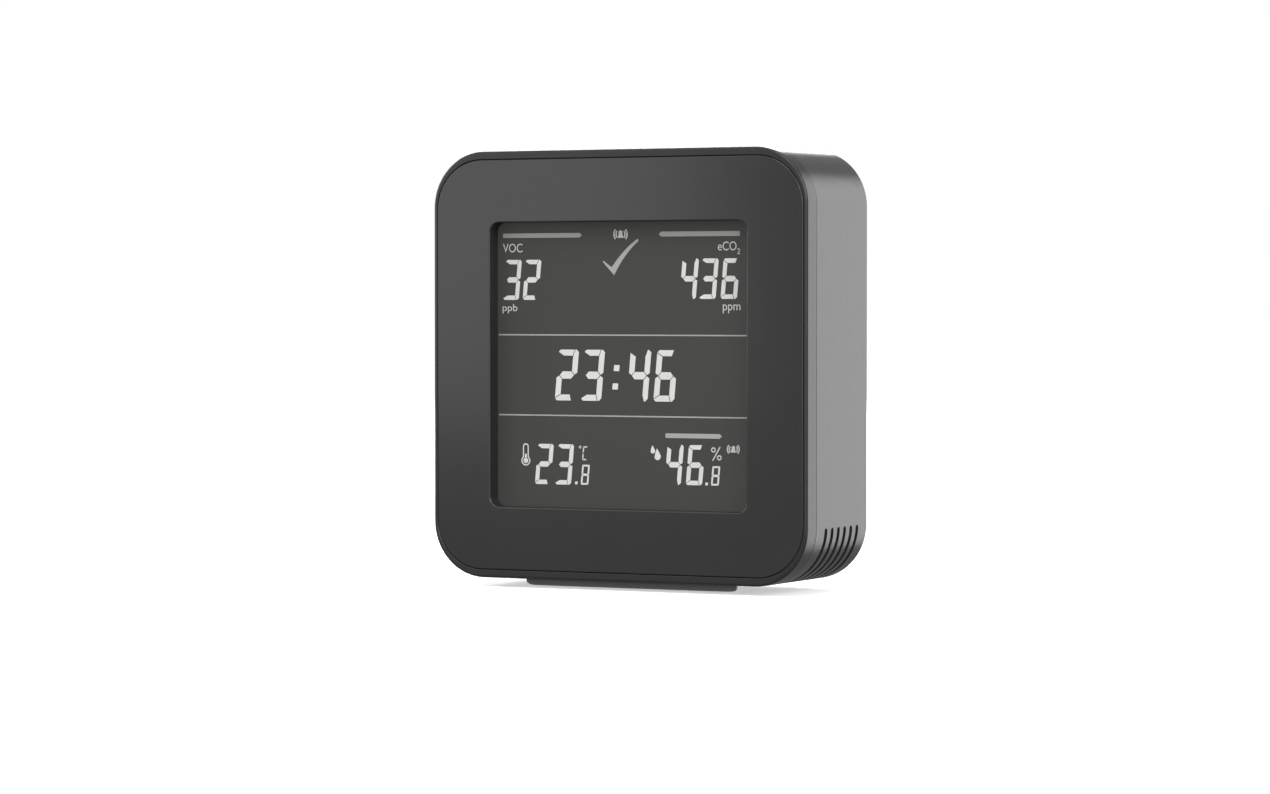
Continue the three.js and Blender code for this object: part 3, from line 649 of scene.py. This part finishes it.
def add_lights():
    """Softboxes round the object, and a broad light from overhead."""
    middle = Vector((0, 0, MIDDLE_Z))
    add_softbox("front_left_softbox", (-0.725, -0.75, 0.405), (-0.725, 0, 0.405), (0.78, 0.79), 1.3)
    add_softbox("front_right_softbox", (0.8, -1.3, 0.5), middle, (1.6, 1.2), 1.7)
    add_softbox("front_high_softbox", (0.2, -1.1, 1.4), middle, (0.8, 0.8), 4.0)
    add_softbox("back_right_softbox", (0.72, 1.07, 0.11), (0.72, 0, 0.11), (0.95, 0.92), 2.3)
    add_softbox("right_softbox", (1.3, -0.5, 0.7), middle, (0.9, 0.9), 5.0)
    add_softbox("left_softbox", (-1.3, -0.1, 0.45), middle, (0.9, 0.9), 4.0)
    add_softbox("back_left_softbox", (-0.8, 1.1, 0.8), middle, (1.0, 1.0), 8.0)
    sun = bpy.data.lights.new("overhead", "SUN")
    sun.energy = 1.1
    sun.angle = math.radians(70)
    link("overhead", sun)


# ---- Front frame ----
def frame_rings():
    """The frame's cross-section: from the seam over the front edge, down the pocket, back to the tongue."""
    edge = 0.6
    groove = 0.08
    outer = [(*case_size(groove), SEAM - TOUCH), (*case_size(0), SEAM - TOUCH - groove)]
    for side, back in quarter_arc(6):
        outer.append((*case_size(edge * back), edge * (1 - side)))
    pocket_width = PANEL_WIDTH + 2 * PANEL_GAP
    pocket_height = PANEL_HEIGHT + 2 * PANEL_GAP
    pocket_corner = PANEL_CORNER + PANEL_GAP
    lip = 0.1
    inner = [
        (pocket_width + 2 * lip, pocket_height + 2 * lip, pocket_corner + lip, 0),
        (pocket_width, pocket_height, pocket_corner, lip),
        (pocket_width, pocket_height, pocket_corner, LEDGE_FRONT),
        (LEDGE_OPENING, LEDGE_OPENING, LEDGE_CORNER, LEDGE_FRONT),
        (LEDGE_OPENING, LEDGE_OPENING, LEDGE_CORNER, LEDGE_BACK),
    ]
    reach = WALL + CLEAR
    inset = reach + TONGUE_THICK
    inner += [
        (*case_size(inset), LEDGE_BACK),
        (*case_size(inset), TONGUE_TIP),
        (*case_size(reach), TONGUE_TIP),
        (*case_size(reach), SEAM - TOUCH),
    ]
    return [ring_at(depth, outline(w, h, r)) for w, h, r, depth in outer + inner]


def add_front_frame():
    """The frame, with bosses for the case screws and for the display's screws."""
    ring = loft("front_frame_visual", frame_rings(), closed=True)
    root = LEDGE_BACK - 0.5
    bottom = LEDGE_BACK + 1
    case_places = corner_places(*CASE_SCREW)
    display_places = corner_places(*DISPLAY_SCREW)
    rest = DISPLAY_BOARD_FRONT - TOUCH
    bosses = [rod("boss", CASE_BOSS_RADIUS, root, TONGUE_END, *place) for place in case_places]
    bosses += [rod("boss", DISPLAY_BOSS_RADIUS, root, rest, *place) for place in display_places]
    join(ring, bosses)
    pilots = [rod("pilot", CASE_PILOT_RADIUS, bottom, DEPTH, *place) for place in case_places]
    pilots += [rod("pilot", DISPLAY_PILOT_RADIUS, bottom, DEPTH, *place) for place in display_places]
    cut(ring, pilots)
    settle(soften(ring), "case", "case_plastic", FRAME, "front_frame")


# ---- Front panel ----
def add_front_panel():
    """The panel round the window, with a collar behind it. The walls of the window are less glossy, and
    darker as painted shade in the recess.
    """
    edge = 0.25
    rings = [(PANEL_WIDTH, PANEL_HEIGHT, PANEL_CORNER, PANEL_THICK)]
    for side, back in quarter_arc(4):
        inset = edge * back
        size = (PANEL_WIDTH - 2 * inset, PANEL_HEIGHT - 2 * inset, PANEL_CORNER - inset)
        rings.append((*size, edge * (1 - side)))
    lip = 0.3
    for side, back in quarter_arc(4):
        grow = lip * (1 - side)
        rings.append((WINDOW + 2 * grow, WINDOW + 2 * grow, WINDOW_CORNER + grow, lip * back))
    collar = WINDOW + 2 * COLLAR
    rings += [
        (WINDOW, WINDOW, WINDOW_CORNER, COLLAR_END),
        (collar, collar, WINDOW_CORNER + COLLAR, COLLAR_END),
        (collar, collar, WINDOW_CORNER + COLLAR, PANEL_THICK),
    ]
    points = [ring_at(depth, outline(w, h, r)) for w, h, r, depth in rings]
    panel = loft("front_panel_visual", points, closed=True)
    settle(soften(panel), "case", "panel_gloss", PANEL, "front_panel")
    panel.data.materials.append(WINDOW_WALL)
    reach = (WINDOW / 2 + lip / 2) * MM
    for face in panel.data.polygons:
        away = max(abs(face.center.x), abs(face.center.z - MIDDLE_Z))
        if away < reach and abs(face.normal.y) < 0.5:
            face.material_index = 1


# ---- Rear housing ----
def node_middle(node):
    """A CAD node's middle in case coordinates, as (x, z) in millimetres."""
    low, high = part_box(node)
    return (low.x + high.x) / 2 / MM, ((low.z + high.z) / 2 - MIDDLE_Z) / MM


def housing_rings():
    """The shell's cross-section: its inside, then from the seam over its back edge."""
    edge = 1.2
    groove = 0.08
    rings = [
        (*case_size(WALL), DEPTH - WALL),
        (*case_size(WALL), SEAM),
        (*case_size(groove), SEAM),
        (*case_size(0), SEAM + groove),
    ]
    for side, back in quarter_arc(7):
        rings.append((*case_size(edge * back), DEPTH - edge * (1 - side)))
    return [ring_at(depth, outline(w, h, r)) for w, h, r, depth in rings]


def vent_cutter(side, depth):
    """A curved slot round one lower corner, with rounded ends."""
    middle = Vector((side * (WIDTH / 2 - CORNER), -(HEIGHT / 2 - CORNER)))
    steps = 26
    end_turn = math.degrees(VENT_WIDTH / 2 / CORNER)
    turns = [end_turn * (1 - math.cos(math.pi / 2 * i / 5)) for i in range(1, 6)]
    angles = turns + [end_turn + (VENT_TURN - 2 * end_turn) * i / steps for i in range(1, steps + 1)]
    angles += [VENT_TURN - turn for turn in reversed(turns)][1:]
    rings = []
    for angle in angles:
        near = min(angle, VENT_TURN - angle, end_turn) / end_turn
        half = VENT_WIDTH / 2 * math.sqrt(max(0.04, 1 - (1 - near) ** 2))
        turn = math.radians(angle)
        way = Vector((side * math.cos(turn), -math.sin(turn)))
        inner = middle + way * (CORNER - WALL - 1)
        outer = middle + way * (CORNER + 1)
        rings.append(
            [
                case_point(inner.x, depth - half, inner.y),
                case_point(outer.x, depth - half, outer.y),
                case_point(outer.x, depth + half, outer.y),
                case_point(inner.x, depth + half, inner.y),
            ]
        )
    return loft("vent", rings)


def upright_rod(name, radius, low, high, sides=48):
    """A round post on the foot's pivot, between two heights in metres."""
    rings = []
    for height in (low, high):
        rings.append([Vector((x * MM, y * MM, height)) for x, y in circle(radius, 0, 0, sides)])
    return loft(name, rings)


def paint_slot_shade(shell):
    """Painted shade: black walls in the vent slots, the faces that look along the depth, in the two lower
    corners.
    """
    shell.data.materials.append(BLACK)
    first = VENT_FIRST - VENT_WIDTH
    last = VENT_FIRST + VENT_COUNT * VENT_PITCH
    for face in shell.data.polygons:
        depth = (face.center.y - FRAME_LOW.y) / MM
        across = abs(face.center.x) / MM
        above = (face.center.z - MIDDLE_Z) / MM
        in_corner = across > WIDTH / 2 - CORNER and above < CORNER - HEIGHT / 2
        if in_corner and first < depth < last and abs(face.normal.y) > 0.9:
            face.material_index = 1


def add_rear_housing():
    """The shell, with its pillars and bosses, and holes for screws, keys, inlet, pivot and vents."""
    shell = loft("rear_housing_visual", housing_rings())
    pillar_front = TONGUE_END + CLEAR
    boss_front = MAIN_BOARD_BACK + TOUCH
    case_places = corner_places(*CASE_SCREW)
    board_places = corner_places(*BOARD_SCREW)
    posts = [rod("pillar", PILLAR_RADIUS, pillar_front, DEPTH - 1, *place) for place in case_places]
    posts += [rod("boss", BOARD_BOSS_RADIUS, boss_front, DEPTH - 1, *place) for place in board_places]
    join(shell, posts)
    cut(shell, [rod("well", SCREW_WELL_RADIUS, SCREW_SEAT, DEPTH + 1, *place) for place in case_places])
    holes = [rod("hole", SCREW_HOLE_RADIUS, 0, DEPTH, *place) for place in case_places]
    holes += [rod("hole", BOARD_PILOT_RADIUS, 0, DEPTH - WALL, *place) for place in board_places]
    for number in range(1, 5):
        x, z = node_middle(f"button_{number}")
        points = outline(KEY_WIDTH + 2 * CLEAR, KEY_HEIGHT + 2 * CLEAR, KEY_CORNER + CLEAR, SMALL_STEPS, x, z)
        holes.append(slab("key_hole", points, DEPTH - WALL - 1, DEPTH + 1))
    x, z = node_middle("usb_socket")
    height = INLET_HEIGHT + 2 * CLEAR
    points = outline(INLET_WIDTH + 2 * CLEAR, height, height / 2 - 0.05, SMALL_STEPS, x, z)
    holes.append(slab("inlet_hole", points, DEPTH - WALL - 1, DEPTH + 1))
    holes.append(upright_rod("pivot_hole", PIVOT_RADIUS + CLEAR, HOUSING_LOW.z - 0.01, HOUSING_LOW.z + 0.003))
    for side in (-1, 1):
        holes += [vent_cutter(side, VENT_FIRST + i * VENT_PITCH) for i in range(VENT_COUNT)]
    cut(shell, holes)
    soften(shell, 0.14)
    for vertex in shell.data.vertices:
        vertex.co.x = min(max(vertex.co.x, HOUSING_LOW.x), HOUSING_HIGH.x)
    settle(shell, "case", "case_plastic", CASE, "rear_housing")
    # The vent slots' walls get painted shade in black.
    paint_slot_shade(shell)


# ---- Keys ----
def plus_mark(x, z):
    """A plus sign, as one polygon."""
    arm, half = 1.1, 0.16
    corner = [(half, half), (half, arm), (-half, arm)]
    points = list(corner)
    for _ in range(3):
        corner = [(-dz, dx) for dx, dz in corner]
        points += corner
    return [[(x + dx, z + dz) for dx, dz in points]]


def minus_mark(x, z):
    """A minus sign."""
    return [stroke([(x - 1.1, z), (x + 1.1, z)], 0.32)]


def ring_mark(x, z):
    """A ring that is all but closed."""
    return [stroke(arc_points(x, z, 0.95, 0, 352, 24), 0.3)]


def bars_mark(x, z):
    """Three level lines."""
    return [stroke([(x - 1.1, z + lift), (x + 1.1, z + lift)], 0.3) for lift in (-0.75, 0, 0.75)]


def add_keys():
    """Four caps with a flange inside the wall, each with a filled symbol."""
    marks = (bars_mark, plus_mark, minus_mark, ring_mark)
    for number, mark in enumerate(marks, 1):
        node = f"button_{number}"
        x, z = node_middle(node)
        flange_front, top = depths(node)
        edge, brim, flange_thick = 0.45, 1.6, 0.8
        rings = [
            (KEY_WIDTH + brim, KEY_HEIGHT + brim, brim, flange_front),
            (KEY_WIDTH + brim, KEY_HEIGHT + brim, brim, flange_front + flange_thick),
            (KEY_WIDTH, KEY_HEIGHT, KEY_CORNER, flange_front + flange_thick),
        ]
        for side, back in quarter_arc(5):
            inset = edge * back
            size = (KEY_WIDTH - 2 * inset, KEY_HEIGHT - 2 * inset, KEY_CORNER - inset)
            rings.append((*size, top - edge * (1 - side)))
        points = [ring_at(depth, outline(w, h, r, SMALL_STEPS, x, z)) for w, h, r, depth in rings]
        cap = loft(f"{node}_visual", points)
        engraved = top - 0.2
        cut(cap, [relief("mark", mark(x, z), engraved, top + 0.5)])
        settle(soften(cap), f"key_{number}", "case_plastic", CASE, node)
        fill = relief(f"{node}_mark", mark(x, z), engraved, top - 0.06)
        settle(soften(fill), f"key_{number}", "white_plastic", MARK_GREY)


# ---- Power inlet ----
def add_inlet():
    """The socket's shell, the tongue inside it and the tongue's contacts."""
    x, z = node_middle("usb_socket")
    bottom, mouth = depths("usb_socket")
    skin, lip = 0.3, 0.12
    height = INLET_HEIGHT

    def oval(inset, depth):
        """The socket's outline, moved inwards by the inset."""
        tall = height - 2 * inset
        return ring_at(depth, outline(INLET_WIDTH - 2 * inset, tall, tall / 2 - 0.05, 10, x, z))

    rings = [oval(skin, bottom + 0.8), oval(skin, mouth - lip), oval(skin - lip, mouth), oval(lip, mouth)]
    rings += [oval(0, mouth - lip), oval(0, bottom)]
    settle(soften(loft("usb_socket_visual", rings)), "case", "steel", STEEL, "usb_socket")

    low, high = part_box("usb_tongue")
    front, back = depths("usb_tongue")
    half_width = (high.x - low.x) / MM / 2
    half_height = (high.z - low.z) / MM / 2
    tongue = slab("usb_tongue_visual", outline(2 * half_width, 2 * half_height, 0.12, 4, x, z), front, back)
    settle(soften(tongue, 0.06), "case", "black_plastic", BLACK, "usb_tongue")
    contacts = []
    count, pitch = 12, 0.5
    for side in (-1, 1):
        for i in range(count):
            along = x + (i - (count - 1) / 2) * pitch
            level = z + side * (half_height + 0.02)
            points = outline(0.28, 0.04, 0.01, 1, along, level)
            contacts.append(slab("contact", points, back - 2.6, back - 0.5))
    settle(soften(merged("usb_contacts", contacts)), "case", "steel", GOLD)


# ---- Case screws ----
def add_case_screws():
    """Four tapping screws with a ridged shank and a cross recess in a domed head."""
    for number, place in enumerate(corner_places(*CASE_SCREW), 1):
        node = f"case_screw_{number}"
        tip, head = depths(node)
        head_height, head_side = 2.0, 0.9
        seat = head - head_height
        shank, crown = 1.4, 2.7
        root = shank * 0.8
        taper, pitch = 1.4, 0.9
        profile = [(0.3, tip), (root, tip + taper)]
        for i in range(int((seat - tip - taper) / pitch)):
            start = tip + taper + i * pitch
            for radius, share in ((root, 0.3), (shank, 0.5), (root, 0.7)):
                profile.append((radius, start + pitch * share))
        profile += [(root, seat), (crown, seat), (crown, seat + head_side)]
        for side, back in quarter_arc(5):
            profile.append((crown - 1.2 * back, seat + head_side + (head_height - head_side) * side))
        screw = turned(f"{node}_visual", profile, *place, 36)
        long, short = 3.0, 0.75
        for wide, high in ((long, short), (short, long)):
            cut(screw, [slab("blade", outline(wide, high, 0.1, 2, *place), head - 1.1, head + 1)])
        settle(soften(screw), "case", "steel", STEEL, node)


# ---- Foot ----
def rounded_polygon(corners, cut_back, steps=8):
    """The polygon with a smooth curve at each corner, which starts this far along the corner's sides."""
    points = []
    for i, corner in enumerate(corners):
        start = corner + (corners[i - 1] - corner).normalized() * cut_back
        end = corner + (corners[(i + 1) % len(corners)] - corner).normalized() * cut_back
        for k in range(steps + 1):
            t = k / steps
            points.append(start * (1 - t) ** 2 + corner * 2 * t * (1 - t) + end * t**2)
    return points


def foot_ring(inset, height):
    """The foot's plan, wide at the front, with its sides moved inwards, at a height in metres."""
    lean = (FOOT_FRONT_WIDTH - FOOT_BACK_WIDTH) / 2 / (2 * FOOT_REACH)
    reach = FOOT_REACH - inset
    middle = (FOOT_FRONT_WIDTH + FOOT_BACK_WIDTH) / 4 - inset * math.hypot(1, lean)
    front = middle + lean * reach
    back = middle - lean * reach
    corners = [Vector(xy) for xy in ((-front, -reach), (front, -reach), (back, reach), (-back, reach))]
    return [Vector((x * MM, y * MM, height)) for x, y in rounded_polygon(corners, FOOT_CORNER)]


def add_foot():
    """The tapered plate with its pivot, and the grooved pad under it."""
    edge, rim = 1.0, 0.2
    top = HOUSING_LOW.z - CLEAR * MM
    rings = []
    for side, back in reversed(quarter_arc(6)):
        rings.append(foot_ring(edge * back, FOOT_LOW.z + edge * MM * (1 - side)))
    rings += [foot_ring(0, top - rim * MM), foot_ring(rim, top)]
    plate = loft("foot_plate_visual", rings)
    join(plate, [upright_rod("pivot", PIVOT_RADIUS, FOOT_LOW.z + 0.001, FOOT_HIGH.z)])
    recess_heights = (PAD_LOW.z - 0.001, PAD_HIGH.z + TOUCH * MM)
    recess = loft("recess", [foot_ring(PAD_INSET - CLEAR, height) for height in recess_heights])
    cut(plate, [recess, upright_rod("pilot", FOOT_PILOT_RADIUS, HOUSING_LOW.z, FOOT_HIGH.z + 0.001)])
    settle(soften(plate), "foot", "case_plastic", FOOT, "foot_plate")

    chamfer, groove_depth = 0.25, 0.3
    pad_rings = [
        foot_ring(PAD_INSET + chamfer, PAD_LOW.z),
        foot_ring(PAD_INSET, PAD_LOW.z + chamfer * MM),
        foot_ring(PAD_INSET, PAD_HIGH.z),
    ]
    pad = loft("foot_pad_visual", pad_rings)
    grooves = []
    pitch, length = 3.4, 2 * (FOOT_REACH - PAD_INSET) - 3
    for i in range(-3, 4):
        points = [Vector((x * MM, y * MM, 0)) for x, y in outline(0.6, length, 0.28, 4, i * pitch, 0)]
        levels = (PAD_LOW.z - 0.001, PAD_LOW.z + groove_depth * MM)
        grooves.append(loft("groove", [[p + Vector((0, 0, z)) for p in points] for z in levels]))
    cut(pad, grooves)
    settle(soften(pad), "foot", "rubber", RUBBER, "foot_pad")


# ---- Display content: flat shapes on the display's front face ----
def relief(name, polygons, front, back):
    """One object that raises every (x, z) polygon between two depths."""
    bm = bmesh.new()
    for polygon in polygons:
        add_loft(bm, [ring_at(front, polygon), ring_at(back, polygon)])
    return mesh_object(name, bm)


def arc_points(x, z, radius, start, end, steps):
    """Points on an arc between two angles in degrees."""
    angles = [math.radians(start + (end - start) * i / steps) for i in range(steps + 1)]
    return [(x + radius * math.cos(a), z + radius * math.sin(a)) for a in angles]


def stroke(points, width):
    """The outline of a line of even width through the points."""
    left, right = [], []
    for i, (x, z) in enumerate(points):
        before = Vector(points[max(i - 1, 0)])
        after = Vector(points[min(i + 1, len(points) - 1)])
        way = (after - before).normalized()
        left.append((x - way.y * width / 2, z + way.x * width / 2))
        right.append((x + way.y * width / 2, z - way.x * width / 2))
    return left + right[::-1]


def shrunk(polygon, gap):
    """A convex polygon with every side moved inwards by the gap."""
    area = sum(a[0] * b[1] - b[0] * a[1] for a, b in zip(polygon, polygon[1:] + polygon[:1]))
    points = [Vector(p) for p in (polygon if area > 0 else polygon[::-1])]
    sides = []
    for a, b in zip(points, points[1:] + points[:1]):
        way = (b - a).normalized()
        sides.append((a + Vector((-way.y, way.x)) * gap, way))
    moved = []
    for (a, u), (b, v) in zip(sides[-1:] + sides[:-1], sides):
        cross = u.x * v.y - u.y * v.x
        t = ((b - a).x * v.y - (b - a).y * v.x) / cross
        moved.append(tuple(a + u * t))
    return moved


LIT = {"2": "abged", "3": "abgcd", "4": "fgbc", "6": "afgedc", "8": "abcdefg"}
SLANT = 0.09


def digit(number, left, bottom, width, height, thick, gap):
    """The lit segments of one leaning digit. Level segments own the left corners, upright ones the right."""
    chamfer = thick * 0.4
    mitre = thick * 0.68
    half = height / 2
    body = thick * 0.6
    waist = thick * 0.35
    inner = thick / 2
    top = [
        (thick, height - thick),
        (width - thick, height - thick),
        (width - mitre, height),
        (chamfer, height),
        (0, height - chamfer),
    ]
    upper_left = [
        (0, height - chamfer),
        (0, half + waist),
        (inner, half),
        (thick, half + body),
        (thick, height - thick),
    ]
    upper_right = [
        (width - thick, height - thick),
        (width - thick, half + body),
        (width - inner, half),
        (width, half + waist),
        (width, height - chamfer),
        (width - chamfer, height),
        (width - mitre, height),
    ]
    middle = [
        (inner, half),
        (thick, half - body),
        (width - thick, half - body),
        (width - inner, half),
        (width - thick, half + body),
        (thick, half + body),
    ]

    def down(polygon):
        """The polygon turned upside down within the digit."""
        return [(x, height - z) for x, z in polygon]

    shapes = {
        "a": top,
        "b": upper_right,
        "c": down(upper_right),
        "d": down(top),
        "e": down(upper_left),
        "f": upper_left,
        "g": middle,
    }
    placed = []
    for name in LIT[number]:
        polygon = shrunk(shapes[name], gap)
        placed.append([(left + x + SLANT * z, bottom + z) for x, z in polygon])
    return placed


def dot(x, z, size):
    """A square point that leans like the digits."""
    half = size / 2
    corners = ((-half, -half), (half, -half), (half, half), (-half, half))
    return [(x + dx + SLANT * dz, z + dz) for dx, dz in corners]


def curve(start, bend, end, steps=10):
    """Points on a quadratic curve from start to end, pulled towards bend."""
    points = []
    for i in range(steps + 1):
        t = i / steps
        weights = ((1 - t) ** 2, 2 * t * (1 - t), t**2)
        points.append(tuple(sum(w * p[axis] for w, p in zip(weights, (start, bend, end))) for axis in (0, 1)))
    return points


def tick():
    """A check mark: a short arm down to its heel, then a long tapering arm that curves up."""
    heel, notch = (-2.57, 19.84), (-3.2, 21.6)
    long_arm = curve(heel, (-0.1, 24.5), (3.45, 27.35)) + curve((3.3, 27.85), (0.1, 25.95), notch)
    return long_arm + [(-5.25, 23.05), (-5.4, 22.8)]


def bar_mark(blunt, pointed, z, thick):
    """A level bar from its blunt end to its pointed end."""
    half = thick / 2
    way = 1 if pointed > blunt else -1
    return [
        (blunt, z - half * 0.7),
        (blunt + way * 0.2, z - half),
        (pointed - way * half * 1.1, z - half),
        (pointed, z),
        (pointed - way * half * 1.1, z + half),
        (blunt + way * 0.2, z + half),
        (blunt, z + half * 0.7),
    ]


def alarm_icon(x, z, size):
    """A small bell between two pairs of sound waves."""
    bell = [(x - 0.4 * size, z - 0.42 * size), (x + 0.4 * size, z - 0.42 * size)]
    bell += [(x + 0.27 * size, z - 0.15 * size), (x + 0.24 * size, z + 0.22 * size)]
    bell += arc_points(x, z + 0.22 * size, 0.24 * size, 15, 165, 6)
    bell += [(x - 0.24 * size, z + 0.22 * size), (x - 0.27 * size, z - 0.15 * size)]
    icon = [bell]
    for radius in (0.58, 0.86):
        for middle in (0, 180):
            points = arc_points(x, z, radius * size, middle - 40, middle + 40, 8)
            icon.append(stroke(points, 0.17 * size))
    return icon


def thermometer(x, top, bottom):
    """An outlined tube and bulb, with the bulb and part of the tube filled."""
    tube, bulb = 0.6, 1.0
    bulb_z = bottom + bulb
    turn = math.degrees(math.acos(tube / bulb))
    edge = arc_points(x, top - tube, tube, 0, 180, 10)
    edge += arc_points(x, bulb_z, bulb, 180 - turn, 360 + turn, 22)
    edge.append((x + tube, top - tube - 0.05))
    return [
        stroke(edge, 0.26),
        arc_points(x, bulb_z, 0.6, 0, 345, 20),
        stroke([(x, bulb_z + 0.64), (x, top - 2.2)], 0.44),
    ]


def drop(x, z, radius):
    """A teardrop: a round bottom that rises to a point and leans to the left."""
    points = arc_points(x, z, radius, 200, 390, 16)
    points += [(x + radius * 0.5, z + radius * 1.1), (x - radius * 0.15, z + radius * 2.2)]
    points.append((x - radius * 0.68, z + radius * 0.9))
    return points


def segment_c(left, bottom, width, height, thick):
    """The letter C, made of a digit's top, left and bottom segments."""
    top, upper, _, lower, foot, _ = digit("6", left, bottom, width, height, thick, 0.05)
    return [top, upper, lower, foot]


def percent(x, z, height):
    """Two small rings on either side of a leaning stroke."""
    lean = height * 0.3
    rings = []
    for side in (-1, 1):
        rings.append(stroke(arc_points(x + side * 0.72, z - side * 0.85, 0.44, 0, 350, 16), 0.28))
    return rings + [stroke([(x - lean, z - height / 2), (x + lean, z + height / 2)], 0.28)]


def label(text, left, right, bottom, top):
    """Upright lettering on the display that fills the stated box."""
    letters = bpy.data.curves.new("label", "FONT")
    letters.body = text
    letters.extrude = 0.02
    letters.resolution_u = 4
    source = link("label", letters)
    graph = bpy.context.evaluated_depsgraph_get()
    mesh = bpy.data.meshes.new_from_object(source.evaluated_get(graph))
    bpy.data.objects.remove(source)
    bpy.data.curves.remove(letters)
    xs = [v.co.x for v in mesh.vertices]
    ys = [v.co.y for v in mesh.vertices]
    zs = [v.co.z for v in mesh.vertices]
    for v in mesh.vertices:
        x = left + (v.co.x - min(xs)) / (max(xs) - min(xs)) * (right - left)
        z = bottom + (v.co.y - min(ys)) / (max(ys) - min(ys)) * (top - bottom)
        depth = MARK_BACK if v.co.z < (min(zs) + max(zs)) / 2 else MARK_FRONT
        v.co = case_point(x, depth, z)
    bm = bmesh.new()
    bm.from_mesh(mesh)
    bpy.data.meshes.remove(mesh)
    bmesh.ops.remove_doubles(bm, verts=bm.verts, dist=1e-6)
    return mesh_object("label", bm)


def add_display():
    """The readings, bars, icons and unit labels on the glass."""
    big = dict(width=4.1, thick=1.12, gap=0.065)
    white = []
    for number, left in zip("32", (-30.55, -25.6)):
        white += digit(number, left, 14.35, height=9.05, **big)
    for number, left in zip("436", (13.4, 18.2, 23.35)):
        white += digit(number, left, 14.55, height=8.95, **big)
    clock = dict(width=5.25, thick=1.5, gap=0.085)
    for number, left in zip("2346", (-17.5, -11.0, 0.45, 7.0)):
        white += digit(number, left, -7.95, height=11.45, **clock)
    white += [dot(-1.95, -0.6, 1.35), dot(-2.3, -4.65, 1.35)]
    for number, left in zip("23", (-22.5, -17.4)):
        white += digit(number, left, -26.6, height=9.1, **big)
    for number, left in zip("46", (9.75, 14.95)):
        white += digit(number, left, -26.1, height=8.9, **big)
    small = dict(width=1.95, thick=0.46, gap=0.03)
    white += digit("8", -10.95, -26.5, height=4.5, **small)
    white += digit("8", 21.1, -26.05, height=4.3, **small)
    white += [dot(-12.0, -26.1, 0.62), dot(20.1, -25.7, 0.62)]
    white += thermometer(-24.72, -17.65, -22.35)
    white += [drop(6.95, -18.7, 0.56), drop(8.12, -19.9, 0.8)]
    digits = relief("display_digits", white, MARK_FRONT, MARK_BACK)
    settle(soften(digits), "case", "white_plastic", DIGIT_WHITE)

    grey = [
        bar_mark(-30.5, -10.6, 28.72, 1.0),
        bar_mark(28.1, 8.4, 28.82, 1.08),
        bar_mark(10.05, 23.8, -15.3, 1.02),
        tick(),
        stroke([(-31.5, 6.65), (31.5, 6.65)], 0.3),
        stroke([(-31.5, -11.2), (31.5, -11.2)], 0.3),
    ]
    units = alarm_icon(-1.0, 28.85, 1.9) + alarm_icon(26.55, -18.05, 1.65)
    units += segment_c(-10.65, -21.1, 1.5, 3.2, 0.42)
    units.append(stroke(arc_points(-11.05, -18.15, 0.22, 0, 345, 10), 0.2))
    units += percent(22.45, -19.1, 3.0)
    marks = relief("display_marks", grey, MARK_FRONT, MARK_BACK)
    unit_labels = [
        label("VOC", -30.5, -25.55, 25.0, 26.95),
        label("eCO", 22.8, 27.3, 25.15, 27.1),
        label("2", 27.45, 28.15, 24.35, 25.6),
        label("ppb", -30.6, -26.85, 11.4, 13.5),
        label("ppm", 24.0, 28.25, 11.5, 13.43),
    ]
    settle(soften(marks), "case", "white_plastic", MARK_GREY)
    unit_labels.append(relief("units", units, MARK_FRONT, MARK_BACK))
    settle(soften(merged("display_labels", unit_labels)), "case", "white_plastic", LABEL_WHITE)


def dress_cad_nodes():
    """Every carried-over CAD node takes the material of its slot."""
    slots = {row["node"]: row["material_slot"] for row in frame["record"]["subparts"]}
    for name, node in frame["nodes"].items():
        for entry in node.material_slots:
            entry.material = SLOT_MATERIALS[slots[name]]


bpy.context.scene.view_settings.view_transform = "Standard"
add_camera()
add_floor()
add_world()
add_lights()
dress_cad_nodes()
add_front_frame()
add_front_panel()
add_rear_housing()
add_keys()
add_inlet()
add_case_screws()
add_foot()
add_display()
